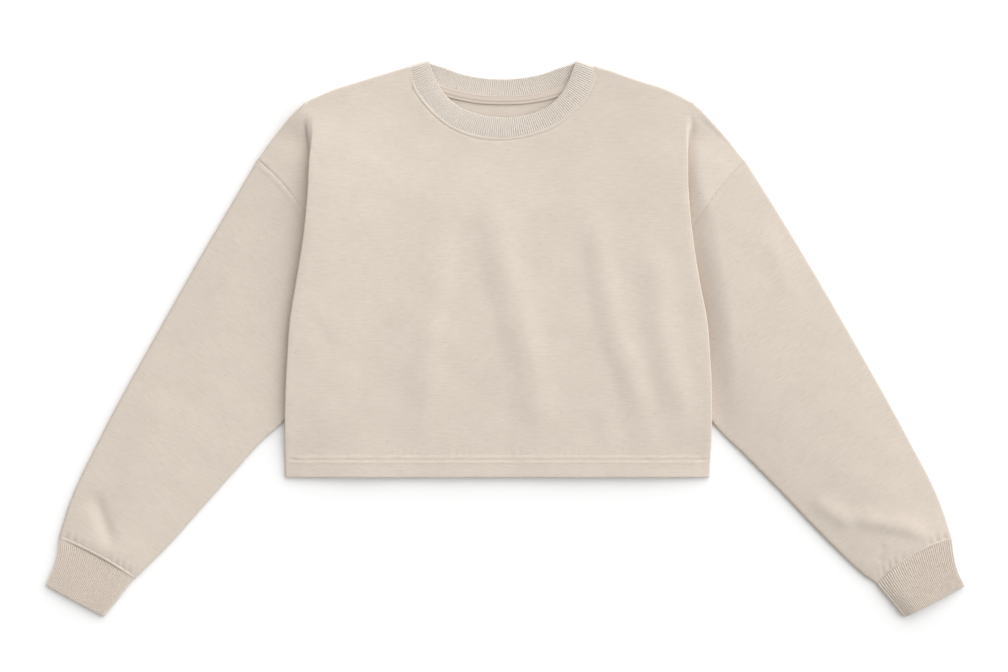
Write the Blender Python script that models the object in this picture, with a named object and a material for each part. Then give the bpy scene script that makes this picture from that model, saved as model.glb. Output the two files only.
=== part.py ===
"""Cropped crew-neck sweatshirt, laid flat on its back with the sleeves down.

X runs across the body, Y from the hem to the neck, Z up out of the front. The underside rests on z = 0.
Every piece is a sheet of knit: a grid of points halfway through the cloth, thickened to its wall.
The body lies over the sleeves, so the layers at its sides are, from below: sleeve, body back, body front.
"""

from math import cos, pi, sin
from typing import NamedTuple

import bpy
import numpy as np
from mathutils import Vector

# Walls of the cloth, in metres
FLEECE = 0.0018       # brushed-back jersey of body and sleeves
RIB = 0.0028          # rib knit folded double, at collar and cuffs
TAPE = 0.0010         # neck tape
SEAM = 0.0003         # clearance between two pieces at a seam
NECK_SEAM = 0.0006    # the same round the collar, whose curve is tighter
LAY = 0.0004          # clearance between two layers that lie on each other

# Heights of the middle of the cloth, one layer on another
STEP = FLEECE + LAY
LEVEL_1 = FLEECE / 2            # on the floor: back panel, underside of the sleeves
LEVEL_2 = LEVEL_1 + STEP        # top side of the sleeves, shoulders of the front
LEVEL_3 = LEVEL_2 + STEP        # back panel where it lies over a sleeve

# Body
HEM_Y = -0.1625                 # lower edge
HEM_DEPTH = 0.022               # turned-up hem, double cloth
ARMPIT_Y = 0.118                # where side, armhole and underarm seams meet
FOLD_OPENS = (0.178, 0.262)     # going up, the front's side folds open out between these heights
ON_SLEEVE_Y = 0.104             # between these heights the body's sides lie over the sleeves
OFF_SLEEVE_Y = -0.101
SIDE_ROLL = 0.0019              # radius of the soft fold down each side of the body
CREASE_ROLL = STEP / 2          # radius of the sharp fold under it
SHOULDER_ROLL = 0.0012          # radius of the fold along the shoulders
SHOULDER_EDGE_Z = 0.0006        # the front's cloth ends this high, beside the back's edge
FRONT_AIR = 0.0012              # the front stands this much off the back, beyond LAY
COLLAR_TIP_LIFT = 0.0016        # the front rises this much beside the collar's tips
RAMP = (0.060, 0.030)           # the back climbs onto the sleeve between these distances in from the side

# Sleeves and cuffs
SLEEVE_ROLL = 0.0018            # radius of the sleeve's outer fold
SLEEVE_CROWN = 0.0016           # how much the sleeve's top side swells between its folds
CUFF_ROLL = (RIB + LAY) / 2
CUFF_CROWN = 0.0008

# Collar and tape
COLLAR_TIP_ROLL = 0.0024        # radius of the fold where the collar turns from front to back
COLLAR_CROWN = 0.0006
COLLAR_AIR = 0.0008             # the collar's front stands this much off the back panel, beyond LAY
TAPE_BELOW = 0.0042             # reach of the tape from the back neck seam, onto the back panel
TAPE_ABOVE = 0.0058             # and onto the collar
TAPE_STEP = (0.0012, -0.0006)   # the tape steps up onto the collar between these distances below the seam

# How finely the sheets are divided
NECK_STEPS = 16
LOW_ROWS = (HEM_Y, -0.1515, -0.1405, -0.124, -0.101, -0.066, -0.024, 0.018, 0.060, ON_SLEEVE_Y, ARMPIT_Y)
HEM_ROWS = 3                    # the first rows, on the turned-up hem
HIGH_STEPS = 8
SHOULDER_STEPS = 3
SLEEVE_ROWS = (0.0, 0.032, 0.09, 0.17, 0.27, 0.38, 0.49, 0.60, 0.71, 0.82, 0.92, 1.0)
ACROSS_STEPS = 6
ROLL_STEPS = 4
CUFF_ROWS = (0.0, 0.25, 0.60, 1.0)
TAPE_STEPS = 14
COLLAR_ACROSS = 3
EDGE_COLUMN = 0.015             # a column of the front, by distance in from the side fold
BODY_COLUMNS = (0.030, 0.045, 0.060, 0.092)  # columns of both front and back, likewise
HPS_COLUMN = 0.128              # the column that ends at the collar's corner


class Side(NamedTuple):
    """Where the body's two side folds lie at one height."""
    y: float
    left: float
    right: float


SIDE_FOLDS = (
    Side(y=-0.1625, left=-0.2580, right=0.2385),
    Side(y=-0.0950, left=-0.2592, right=0.2430),
    Side(y=-0.0250, left=-0.2565, right=0.2408),
    Side(y=0.0210, left=-0.2532, right=0.2370),
    Side(y=0.0640, left=-0.2462, right=0.2288),
    Side(y=0.1180, left=-0.2374, right=0.2205),
    Side(y=0.1620, left=-0.2332, right=0.2160),
    Side(y=0.2380, left=-0.2305, right=0.2148),
    Side(y=0.2900, left=-0.2305, right=0.2148),
)


class Tuck(NamedTuple):
    """How far the front folds under at each side, at one height."""
    y: float
    left: float
    right: float


TUCKS = (
    Tuck(y=-0.1625, left=0.0085, right=0.0085),
    Tuck(y=0.0600, left=0.0095, right=0.0090),
    Tuck(y=ON_SLEEVE_Y, left=0.0175, right=0.0108),
    Tuck(y=ARMPIT_Y, left=0.0240, right=0.0120),
    Tuck(y=0.1500, left=0.0150, right=0.0085),
    Tuck(y=0.1800, left=0.0065, right=0.0055),
    Tuck(y=0.2050, left=0.0054, right=0.0054),
    Tuck(y=0.2900, left=0.0054, right=0.0054),
)


class Fold(NamedTuple):
    """A soft ridge (or, with a negative height, trough) between two places on the garment."""
    x0: float
    y0: float
    x1: float
    y1: float
    width: float
    height: float


BODY_FOLDS = (
    Fold(x0=-0.070, y0=0.175, x1=0.000, y1=-0.110, width=0.026, height=0.0020),
    Fold(x0=0.075, y0=0.150, x1=0.150, y1=-0.100, width=0.024, height=0.0024),
    Fold(x0=0.150, y0=0.040, x1=0.190, y1=-0.125, width=0.016, height=0.0018),
    Fold(x0=-0.110, y0=0.160, x1=-0.125, y1=-0.120, width=0.022, height=0.0014),
    Fold(x0=-0.215, y0=0.060, x1=-0.170, y1=-0.060, width=0.014, height=0.0010),
)
SLEEVE_FOLDS = (
    Fold(x0=-0.300, y0=0.160, x1=-0.350, y1=-0.010, width=0.018, height=0.0018),
    Fold(x0=-0.395, y0=-0.060, x1=-0.455, y1=-0.190, width=0.016, height=0.0016),
    Fold(x0=-0.476, y0=-0.176, x1=-0.446, y1=-0.232, width=0.011, height=0.0026),
    Fold(x0=0.300, y0=0.150, x1=0.345, y1=0.020, width=0.018, height=0.0016),
    Fold(x0=0.345, y0=-0.160, x1=0.430, y1=-0.203, width=0.012, height=0.0026),
    Fold(x0=0.440, y0=-0.212, x1=0.500, y1=-0.224, width=0.010, height=0.0022),
)

# Outlines, as (x, y) points of smooth curves. Left is the left of the garment as it is seen, at -X.
SHOULDER = {
    "left": (
        (-0.1084, 0.3202), (-0.1136, 0.3186), (-0.1670, 0.3045), (-0.2080, 0.2900), (-0.2420, 0.2710),
        (-0.2670, 0.2450), (-0.2916, 0.2100),
    ),
    "right": (
        (0.1048, 0.3196), (0.1090, 0.3186), (0.1570, 0.3045), (0.1940, 0.2900), (0.2240, 0.2710),
        (0.2520, 0.2450), (0.2806, 0.2090),
    ),
}
ARMHOLE = {
    "left": ((-0.2165, ARMPIT_Y), (-0.2340, 0.1460), (-0.2630, 0.1830), (-0.2916, 0.2100)),
    "right": ((0.2110, ARMPIT_Y), (0.2215, 0.1330), (0.2500, 0.1745), (0.2806, 0.2090)),
}
SLEEVE_OUTER = {
    "left": (
        (-0.2916, 0.2100), (-0.3550, 0.1040), (-0.4160, -0.0020), (-0.4750, -0.1080), (-0.5150, -0.1960),
        (-0.5257, -0.2350),
    ),
    "right": (
        (0.2806, 0.2090), (0.3460, 0.1040), (0.4070, -0.0020), (0.4670, -0.1080), (0.5110, -0.1960),
        (0.5240, -0.2380),
    ),
}
SLEEVE_INNER = {
    "left": (
        (-0.2165, ARMPIT_Y), (-0.2236, 0.1030), (-0.2270, 0.0550), (-0.2300, 0.0000), (-0.2370, -0.0560),
        (-0.2560, -0.0930), (-0.2863, -0.1214), (-0.3170, -0.1554), (-0.3575, -0.2008), (-0.3975, -0.2455),
        (-0.4244, -0.2722), (-0.4350, -0.2830),
    ),
    "right": (
        (0.2110, ARMPIT_Y), (0.2140, 0.1030), (0.2130, 0.0550), (0.2150, 0.0000), (0.2210, -0.0560),
        (0.2430, -0.0970), (0.2841, -0.1393), (0.3261, -0.1820), (0.3661, -0.2244), (0.4040, -0.2620),
        (0.4227, -0.2785), (0.4390, -0.2870),
    ),
}
CUFF_OUTER = {
    "left": ((-0.5257, -0.2350), (-0.5272, -0.2515), (-0.5325, -0.2700), (-0.5405, -0.2910)),
    "right": ((0.5240, -0.2380), (0.5272, -0.2550), (0.5328, -0.2730), (0.5406, -0.2926)),
}
CUFF_INNER = {
    "left": ((-0.4350, -0.2830), (-0.4433, -0.2912), (-0.4556, -0.3068), (-0.4720, -0.3265)),
    "right": ((0.4390, -0.2870), (0.4430, -0.2925), (0.4530, -0.3052), (0.4696, -0.3265)),
}
ARMHOLE_ENDS = (0.0003, 0.0014)  # more clearance at the shoulder and armpit ends of the armhole seam
CUFF_SEAM_BOW = 0.0035          # the cuff seam bows this far up the sleeve
CUFF_SEAM = 0.0008              # clearance at the cuff seam, whose tubes flare

FRONT_NECK = (
    (-0.1084, 0.3202), (-0.1050, 0.2965), (-0.0951, 0.2802), (-0.0838, 0.2672), (-0.0695, 0.2548),
    (-0.0458, 0.2424), (-0.0051, 0.2362), (0.0363, 0.2427), (0.0588, 0.2518), (0.0760, 0.2655),
    (0.0918, 0.2818), (0.1005, 0.2992), (0.1048, 0.3196),
)
FRONT_FREE = (
    (-0.0904, 0.3268), (-0.0794, 0.2987), (-0.0695, 0.2844), (-0.0570, 0.2735), (-0.0330, 0.2630),
    (-0.0022, 0.2586), (0.0290, 0.2625), (0.0510, 0.2720), (0.0640, 0.2835), (0.0746, 0.3005),
    (0.0843, 0.3268),
)
BACK_FREE = ((-0.0904, 0.3268), (-0.0550, 0.3112), (-0.0025, 0.3038), (0.0510, 0.3118), (0.0843, 0.3268))
BACK_NECK = (
    (-0.1074, 0.3166), (-0.0830, 0.2950), (-0.0460, 0.2830), (-0.0025, 0.2792), (0.0420, 0.2830),
    (0.0780, 0.2950), (0.1038, 0.3160),
)
TAPE_ENDS = (0.11, 0.89)        # stretch of the back neck seam that the tape covers

COLOURS = {
    "front": (0.73, 0.65, 0.57), "back": (0.70, 0.61, 0.52), "sleeve": (0.72, 0.63, 0.55),
    "cuff": (0.63, 0.55, 0.47), "collar": (0.68, 0.60, 0.53), "neck_tape": (0.72, 0.64, 0.56),
}


def ease(value: float, start: float, end: float) -> float:
    """An S from 0 at start to 1 at end."""
    part = min(max((value - start) / (end - start), 0.0), 1.0)
    return part * part * (3.0 - 2.0 * part)


def hermite(knots, values, at: float):
    """Smooth curve through values at rising knots."""
    knots = np.asarray(knots, dtype=float)
    values = np.asarray(values, dtype=float)
    slopes = np.gradient(values, knots, axis=0)
    i = int(np.clip(np.searchsorted(knots, at) - 1, 0, len(knots) - 2))
    span = knots[i + 1] - knots[i]
    t = min(max((at - knots[i]) / span, 0.0), 1.0)
    rise = (2 * t**3 - 3 * t**2 + 1) * values[i] + (3 * t**2 - 2 * t**3) * values[i + 1]
    return rise + span * ((t**3 - 2 * t**2 + t) * slopes[i] + (t**3 - t**2) * slopes[i + 1])


def along(points, t: float) -> np.ndarray:
    """Point at share t of a smooth curve through (x, y) points."""
    points = np.asarray(points, dtype=float)
    lengths = np.concatenate([[0.0], np.cumsum(np.linalg.norm(np.diff(points, axis=0), axis=1))])
    return hermite(lengths / lengths[-1], points, t)


def beside(points, t: float, offset: float) -> np.ndarray:
    """Point at share t of a smooth curve, moved to its left by offset."""
    ahead = along(points, min(t + 0.01, 1.0)) - along(points, max(t - 0.01, 0.0))
    ahead /= np.linalg.norm(ahead)
    return along(points, t) + offset * np.array((-ahead[1], ahead[0]))


def at_height(rows, side: str, y: float) -> float:
    """One side's column of a table, at height y."""
    return float(hermite([row.y for row in rows], [getattr(row, side) for row in rows], y))


def sign(side: str) -> int:
    """-1 for the left side, +1 for the right."""
    return -1 if side == "left" else 1


def shoulder_y(side: str, x: float) -> float:
    """Height of the shoulder's outline at x."""
    points = sorted(SHOULDER[side])
    return float(hermite([p[0] for p in points], [p[1] for p in points], x))


def relief(x: float, y: float, folds) -> float:
    """Height that the folds add at a place."""
    total = 0.0
    for fold in folds:
        start = np.array((fold.x0, fold.y0))
        run = np.array((fold.x1, fold.y1)) - start
        t = float(np.clip(np.dot((x, y) - start, run) / np.dot(run, run), 0.0, 1.0))
        away = np.linalg.norm((x, y) - start - t * run)
        total += fold.height * np.exp(-((away / fold.width) ** 2))
    return float(total)


def inward(side: str, x: float, y: float) -> float:
    """Distance of a place in from the body's side fold."""
    return (at_height(SIDE_FOLDS, side, y) - x) * sign(side)


def back_height(x: float, y: float) -> float:
    """Middle of the back panel: on the floor, and on top of the sleeves along the sides."""
    side = "left" if x < 0.0 else "right"
    climbed = ease(y, HEM_Y, OFF_SLEEVE_Y) if y < 0.0 else 1.0 - ease(y, ON_SLEEVE_Y, ARMPIT_Y)
    return LEVEL_1 + (LEVEL_3 - LEVEL_1) * climbed * ease(inward(side, x, y), *RAMP)


def front_height(x: float, y: float) -> float:
    """Middle of the front panel between its side folds."""
    side = "left" if x < 0.0 else "right"
    depth = inward(side, x, y)
    climbed = ease(y, HEM_Y, OFF_SLEEVE_Y) if y < 0.0 else 1.0 - ease(y, *FOLD_OPENS)
    base = LEVEL_2 + (LEVEL_3 - LEVEL_1) * climbed * ease(depth, *RAMP)
    side_top = side_profile(side, y)[0][1]
    swell = (side_top - LEVEL_2 - (LEVEL_3 - LEVEL_1) * climbed) * (1.0 - ease(depth, 0.003, 0.026))
    air = FRONT_AIR * ease(y, HEM_Y, -0.120) * (1.0 - ease(y, 0.180, 0.232))
    reaches = [np.hypot(x - tip_x, y - tip_y) for tip_x, tip_y in (FRONT_NECK[0], FRONT_NECK[-1])]
    tip = COLLAR_TIP_LIFT * sum(np.exp(-((reach / 0.030) ** 2)) for reach in reaches)
    inside = ease(depth, 0.012, 0.045)
    hem = FLEECE * 1.5 * (1.0 - ease(y, HEM_Y + HEM_DEPTH, HEM_Y + HEM_DEPTH + 0.016))
    return base + swell + tip + inside * (air + relief(x, y, BODY_FOLDS)) + hem * ease(depth, 0.006, 0.020)


def side_profile(side: str, y: float) -> list:
    """Section of the front across a side fold: points (distance out from the fold's edge, height).

    From the body out, it is a chain of short lengths of cloth: round the soft roll, back along the flap
    and round the crease.
    Where the fold opens, every length turns less, until the cloth is flat.
    """
    tuck = at_height(TUCKS, side, y)
    roll_length = 2.0 * SIDE_ROLL * sin(pi / ROLL_STEPS / 2.0)
    crease_length = 2.0 * CREASE_ROLL * sin(pi / 4.0)
    flap_length = tuck - FLEECE / 2 - SIDE_ROLL - CREASE_ROLL
    chain = [(roll_length, -pi * (step + 0.5) / ROLL_STEPS) for step in range(ROLL_STEPS)]
    chain += [(flap_length, -pi), (crease_length, -pi * 0.75), (crease_length, -pi * 0.25)]
    folded = 1.0 - ease(y, *FOLD_OPENS)
    points = [(0.0, 0.0)]
    for length, turn in chain:
        out, height = points[-1]
        points.append((out + length * cos(turn * folded), height + length * sin(turn * folded)))
    edge = points[ROLL_STEPS // 2][0] + FLEECE / 2
    if y < ARMPIT_Y:
        flap = LEVEL_1 + (LEVEL_3 - LEVEL_1) * (ease(y, HEM_Y, OFF_SLEEVE_Y) if y < 0.0 else 1.0)
        base = points[ROLL_STEPS][1] - flap
    else:
        base = points[-1][1] - LEVEL_2
    return [(out - edge, height - base) for out, height in points]


def profile_x(side: str, y: float, point: int) -> float:
    """X of one point of a side fold's section."""
    return at_height(SIDE_FOLDS, side, y) + sign(side) * side_profile(side, y)[point][0]


def row_heights(top: float) -> list:
    """Heights of all the rows of a body column that ends at top."""
    return list(LOW_ROWS) + [ARMPIT_Y + (top - ARMPIT_Y) * (k + 1) / HIGH_STEPS for k in range(HIGH_STEPS)]


def neck_column(k: int, neck) -> list:
    """(x, y) up a column that ends at step k of a neck curve, just outside the collar."""
    top = beside(neck, k / NECK_STEPS, -NECK_SEAM)
    places = []
    for y in row_heights(float(top[1])):
        left = at_height(SIDE_FOLDS, "left", y) + HPS_COLUMN
        right = at_height(SIDE_FOLDS, "right", y) - HPS_COLUMN
        low = left + (right - left) * k / NECK_STEPS
        share = ease(y, -0.02, float(top[1]))
        places.append((low + (float(top[0]) - low) * share, y))
    return places


def side_column(side: str, depth: float) -> list:
    """(x, y) up a column at a distance in from a side fold."""
    top_x = at_height(SIDE_FOLDS, side, SIDE_FOLDS[-1].y) - sign(side) * depth
    rows = row_heights(shoulder_y(side, top_x))
    return [(at_height(SIDE_FOLDS, side, y) - sign(side) * depth, y) for y in rows]


def shoulder_patch(side: str) -> list:
    """Columns of (x, y) between the crease and the armhole seam, from the armpit up."""
    top_y = shoulder_y(side, profile_x(side, SIDE_FOLDS[-1].y, -1))
    patch = []
    for m in range(1, SHOULDER_STEPS + 1):
        column = []
        for k in range(HIGH_STEPS + 1):
            y = ARMPIT_Y + (top_y - ARMPIT_Y) * k / HIGH_STEPS
            crease = np.array((profile_x(side, y, -1), y))
            seam = beside(ARMHOLE[side], k / HIGH_STEPS, sign(side) * SEAM / 2)
            column.append(crease + (seam - crease) * m / SHOULDER_STEPS)
        column[-1][1] = shoulder_y(side, column[-1][0])
        patch.append([None] * (len(LOW_ROWS) - 1) + [(float(x), float(y)) for x, y in column])
    return patch


def shoulder_outward(side: str, x: float) -> Vector:
    """Level direction out of the garment, square to the shoulder's outline at x."""
    ends = sorted(point[0] for point in (SHOULDER[side][0], SHOULDER[side][-1]))
    before, after = max(x - 0.004, ends[0]), min(x + 0.004, ends[1])
    rise = shoulder_y(side, after) - shoulder_y(side, before)
    return Vector((-rise, after - before, 0.0)).normalized()


def rolled_edge(side: str, top: Vector) -> list:
    """The front's shoulder edge, from a point on its outline: in a little, then down over the back's edge."""
    outward = shoulder_outward(side, top.x)
    radius = SHOULDER_ROLL
    centre = top - outward * (radius + FLEECE / 2)
    points = [centre.copy()]
    for turn in (pi / 4, pi / 2):
        points.append(centre + outward * radius * sin(turn) - Vector((0.0, 0.0, radius * (1.0 - cos(turn)))))
    points.append(points[-1] - Vector((0.0, 0.0, top.z - radius - SHOULDER_EDGE_Z)))
    return points


def finish(name: str, colour) -> bpy.types.Material:
    """Matt knit in one colour."""
    material = bpy.data.materials.new(name)
    material.use_nodes = True
    shader = material.node_tree.nodes["Principled BSDF"]
    shader.inputs["Base Color"].default_value = (*colour, 1.0)
    shader.inputs["Roughness"].default_value = 0.92
    shader.inputs["Metallic"].default_value = 0.0
    return material


def sheet(name: str, columns: list, wall: float, colour, ring: bool = False, hemmed=()):
    """One piece of cloth from columns of points, where None leaves a place empty.

    The columns and rows in hemmed, as (column, row) pairs, have a double wall.
    """
    vertices, index = [], {}
    for i, column in enumerate(columns):
        for j, point in enumerate(column):
            if point is not None:
                index[i, j] = len(vertices)
                vertices.append(tuple(point))
    count = len(columns)
    faces = []
    for i in range(count if ring else count - 1):
        for j in range(len(columns[0]) - 1):
            corners = ((i, j), ((i + 1) % count, j), ((i + 1) % count, j + 1), (i, j + 1))
            if all(corner in index for corner in corners):
                faces.append([index[corner] for corner in corners])
    mesh = bpy.data.meshes.new(name)
    mesh.from_pydata(vertices, [], faces)
    mesh.shade_smooth()
    mesh.materials.append(finish(name, colour))
    piece = bpy.data.objects.new(name, mesh)
    bpy.context.scene.collection.objects.link(piece)
    solid = piece.modifiers.new("wall", "SOLIDIFY")
    solid.offset = 0.0
    solid.thickness = wall
    if hemmed:
        group = piece.vertex_groups.new(name="hem")
        group.add([index[place] for place in hemmed], 1.0, "REPLACE")
        solid.vertex_group = group.name
        solid.thickness = 2.0 * wall
        solid.thickness_vertex_group = 0.5
    return piece


def make_front() -> None:
    """Front panel: body, side folds and tucks, and the shoulders out to the armhole seams."""
    def body(places):
        """Points on the panel."""
        return [Vector((x, y, front_height(x, y))) for x, y in places]

    def half(side):
        """Columns of one side, from the collar's corner out."""
        made = [body(side_column(side, depth)) for depth in reversed((EDGE_COLUMN, *BODY_COLUMNS))]
        top_y = shoulder_y(side, at_height(SIDE_FOLDS, side, SIDE_FOLDS[-1].y))
        for point in range(ROLL_STEPS + 4):
            column = []
            for row, y in enumerate(row_heights(top_y)):
                z = side_profile(side, y)[point][1]
                hidden = point > ROLL_STEPS + 1 and row < len(LOW_ROWS) - 1
                column.append(None if hidden else Vector((profile_x(side, y, point), y, z)))
            column[-1].y = shoulder_y(side, column[-1].x)
            made.append(column)
        for places in shoulder_patch(side):
            made.append([None if place is None else Vector((*place, LEVEL_2)) for place in places])
        for column in made:
            column[-1:] = rolled_edge(side, column[-1])
        return made

    neck = [body(neck_column(k, FRONT_NECK)) for k in range(NECK_STEPS + 1)]
    left, right = half("left"), half("right")
    for side, column in (("left", neck[0]), ("right", neck[-1])):
        column[-1:] = rolled_edge(side, column[-1])
    blank = len(left[0]) - len(neck[1])
    for column in neck[1:-1]:
        column.extend([None] * blank)
    columns = left[::-1] + neck + right
    outer = len(left) - len(BODY_COLUMNS) - 1
    hemmed = [(i, j) for i in range(outer, len(columns) - outer) for j in range(HEM_ROWS)]
    sheet("front", columns, FLEECE, COLOURS["front"], hemmed=hemmed)


def make_back() -> None:
    """Back panel: flat on the floor, and over the sleeves along its sides."""
    def body(places, rows_in_hem=HEM_ROWS):
        """Points on the panel, raised by half a wall in the rows of the double hem."""
        points = [Vector((x, y, back_height(x, y))) for x, y in places]
        for point in points[:rows_in_hem]:
            point.z += FLEECE / 2
        return points

    def half(side):
        """Columns of one side, from the collar's corner out."""
        made = [body(side_column(side, depth)) for depth in reversed(BODY_COLUMNS)]
        top_x = profile_x(side, SIDE_FOLDS[-1].y, -1)
        seam = [
            (profile_x(side, y, ROLL_STEPS + 1 if row < len(LOW_ROWS) else -1) - sign(side) * SEAM, y)
            for row, y in enumerate(row_heights(shoulder_y(side, top_x)))
        ]
        made.append(body(seam, rows_in_hem=0))
        for places in shoulder_patch(side):
            made.append([None if place is None else Vector((*place, LEVEL_1)) for place in places])
        for column in made:
            column[-1] = under_roll(side, column[-1])
        return made

    neck = [body(neck_column(k, BACK_NECK)) for k in range(NECK_STEPS + 1)]
    neck[0][-1] = under_roll("left", neck[0][-1])
    neck[-1][-1] = under_roll("right", neck[-1][-1])
    left, right = half("left"), half("right")
    columns = left[::-1] + neck + right
    outer = len(left) - len(BODY_COLUMNS)
    hemmed = [(i, j) for i in range(outer, len(columns) - outer) for j in range(HEM_ROWS)]
    sheet("back", columns, FLEECE, COLOURS["back"], hemmed=hemmed)


def under_roll(side: str, top: Vector) -> Vector:
    """The back's edge point just inside the front's rolled shoulder edge."""
    return top - shoulder_outward(side, top.x) * (FLEECE + 2.0 * SEAM)


def tube(name: str, stations: list, wall: float, colour) -> None:
    """A flattened tube from rings of points that go over the top side and back underneath."""
    columns = [list(column) for column in zip(*stations)]
    sheet(name, columns, wall, colour, ring=True)


def flat_ring(outer, inner, wall: float, rolls, top_height, bend) -> list:
    """One ring: across the top side, round the inner fold, back underneath, round the outer fold.

    rolls are the radii of the outer and inner folds. top_height(share, x, y) gives the top side's height
    and bend(share) shifts a point in plan, both by its share of the way across.
    """
    outer, inner = np.array(outer), np.array(inner)
    across = (inner - outer) / np.linalg.norm(inner - outer)
    floor = wall / 2
    width = np.linalg.norm(inner - outer)
    first, last = (rolls[0] + floor) / width, 1.0 - (rolls[1] + floor) / width
    shares = [first + (last - first) * step / ACROSS_STEPS for step in range(ACROSS_STEPS + 1)]
    plan = [outer + (inner - outer) * share + bend(share) for share in shares]
    top = [Vector((x, y, top_height(share, x, y))) for share, (x, y) in zip(shares, plan)]
    under = [Vector((x, y, floor)) for x, y in plan]

    def turn(upper, lower, direction):
        """Points of a half circle from upper round to lower."""
        radius = (upper.z - lower.z) / 2
        points = []
        for step in range(1, ROLL_STEPS):
            angle = pi * step / ROLL_STEPS
            out = direction * radius * sin(angle)
            points.append(Vector((upper.x + out[0], upper.y + out[1], lower.z + radius * (1.0 + cos(angle)))))
        return points

    inner_turn = turn(top[-1], under[-1], across)
    outer_turn = turn(top[0], under[0], -across)
    return top + inner_turn + under[::-1] + outer_turn[::-1]


def make_sleeve(side: str) -> None:
    """Sleeve, from the armhole seam to the cuff seam, partly under the body."""
    armhole = ARMHOLE[side]
    stations = []
    for down in SLEEVE_ROWS:
        outer = along(SLEEVE_OUTER[side], down)
        inner = along(SLEEVE_INNER[side], down)
        free = ease(OFF_SLEEVE_Y - inner[1], -0.010, 0.060)
        rolls = (
            CREASE_ROLL + (SLEEVE_ROLL - CREASE_ROLL) * ease(down, 0.0, 0.20),
            CREASE_ROLL + (SLEEVE_ROLL - CREASE_ROLL) * free,
        )
        chord = along(armhole, 1.0), along(armhole, 0.0)
        at_armhole = max(0.0, 1.0 - 3.0 * down)
        at_cuff = max(0.0, 3.0 * down - 2.0) ** 2
        up = (along(SLEEVE_OUTER[side], 0.97) - along(SLEEVE_OUTER[side], 1.0))
        up /= np.linalg.norm(up)

        def bend(share):
            """Follow the armhole seam at one end and the cuff seam at the other."""
            clearance = SEAM / 2 + ARMHOLE_ENDS[0] * ease(share, 0.1, 0.0)
            clearance += ARMHOLE_ENDS[1] * ease(share, 0.85, 1.0)
            straight = chord[0] + (chord[1] - chord[0]) * share
            curve = beside(armhole, 1.0 - share, -sign(side) * clearance) - straight
            bow = CUFF_SEAM_BOW * 4.0 * share * (1.0 - share) + CUFF_SEAM / 2
            return curve * at_armhole + up * bow * at_cuff

        def top_height(share, x, y):
            """The top side swells between its folds, and lies flat under the body."""
            clear = ease(-inward(side, x, y), 0.010, 0.042) if y > OFF_SLEEVE_Y else 1.0
            near_seam = ease(down, 0.0, 0.12)
            edge = 2.0 * (rolls[0] * (1.0 - share) + rolls[1] * share)
            swell = SLEEVE_CROWN * 4.0 * share * (1.0 - share) + relief(x, y, SLEEVE_FOLDS)
            edges = min(1.0, 6.0 * share, 6.0 * (1.0 - share))
            return LEVEL_2 + (edge - STEP + swell * edges) * clear * near_seam

        stations.append(flat_ring(outer, inner, FLEECE, rolls, top_height, bend))
    tube(f"sleeve_{side}", stations, FLEECE, COLOURS["sleeve"])


def make_cuff(side: str) -> None:
    """Cuff: a short flattened tube of doubled rib."""
    up = along(CUFF_OUTER[side], 0.0) - along(CUFF_OUTER[side], 0.5)
    up /= np.linalg.norm(up)
    stations = []
    for down in CUFF_ROWS:
        fade = (1.0 - down) ** 2

        def bend(share):
            """Follow the cuff seam at the upper end."""
            return up * (CUFF_SEAM_BOW * 4.0 * share * (1.0 - share) - CUFF_SEAM / 2) * fade

        def top_height(share, _x, _y):
            """The top side swells a little between its folds."""
            return RIB / 2 + 2.0 * CUFF_ROLL + CUFF_CROWN * 4.0 * share * (1.0 - share)

        outer, inner = along(CUFF_OUTER[side], down), along(CUFF_INNER[side], down)
        stations.append(flat_ring(outer, inner, RIB, (CUFF_ROLL, CUFF_ROLL), top_height, bend))
    tube(f"cuff_{side}", stations, RIB, COLOURS["cuff"])


def make_collar() -> None:
    """Collar: one flattened ring of doubled rib, front half on top, folded at its two tips."""
    low = RIB / 2
    high = low + 2.0 * COLLAR_TIP_ROLL
    front = FLEECE + LAY + COLLAR_AIR + RIB / 2
    inset = COLLAR_TIP_ROLL + RIB / 2

    def tip(end):
        """Seam and free edge of the collar where it starts to turn over, and the way out of the fold."""
        seam, free = np.array(FRONT_NECK[end]), np.array(FRONT_FREE[end])
        run = (free - seam) / np.linalg.norm(free - seam)
        out = np.array((-run[1], run[0])) if end == 0 else np.array((run[1], -run[0]))
        return seam - out * inset, free - out * inset, out

    def section(seam, free, height, crown):
        """Points from the seam to the free edge."""
        points = []
        for step in range(COLLAR_ACROSS + 1):
            share = step / COLLAR_ACROSS
            swell = crown * 4.0 * share * (1.0 - share)
            points.append(Vector((*(seam + (free - seam) * share), height + swell)))
        return points

    def half(neck, free_edge, height_at, crown):
        """Sections from the left tip to the right tip."""
        made = []
        for k in range(NECK_STEPS + 1):
            share = k / NECK_STEPS
            seam, free = along(neck, share), along(free_edge, share)
            if k in (0, NECK_STEPS):
                seam, free, _ = tip(0 if k == 0 else -1)
            made.append(section(seam, free, height_at(min(k, NECK_STEPS - k)), crown))
        return made

    def turn(end):
        """Sections round the fold at a tip, from the front half down to the back half."""
        seam, free, out = tip(end)
        made = []
        for step in range(1, ROLL_STEPS):
            angle = pi * step / ROLL_STEPS
            shift = out * COLLAR_TIP_ROLL * sin(angle)
            made.append(section(seam + shift, free + shift, low + COLLAR_TIP_ROLL * (1.0 + cos(angle)), 0.0))
        return made

    over = half(FRONT_NECK, FRONT_FREE, lambda k: high + (front - high) * ease(k, 3.5, 7.0), COLLAR_CROWN)
    under = half(BACK_NECK, BACK_FREE, lambda k: low, 0.0)
    columns = over + turn(-1) + under[::-1] + turn(0)[::-1]
    sheet("collar", columns, RIB, COLOURS["collar"], ring=True)


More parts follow.
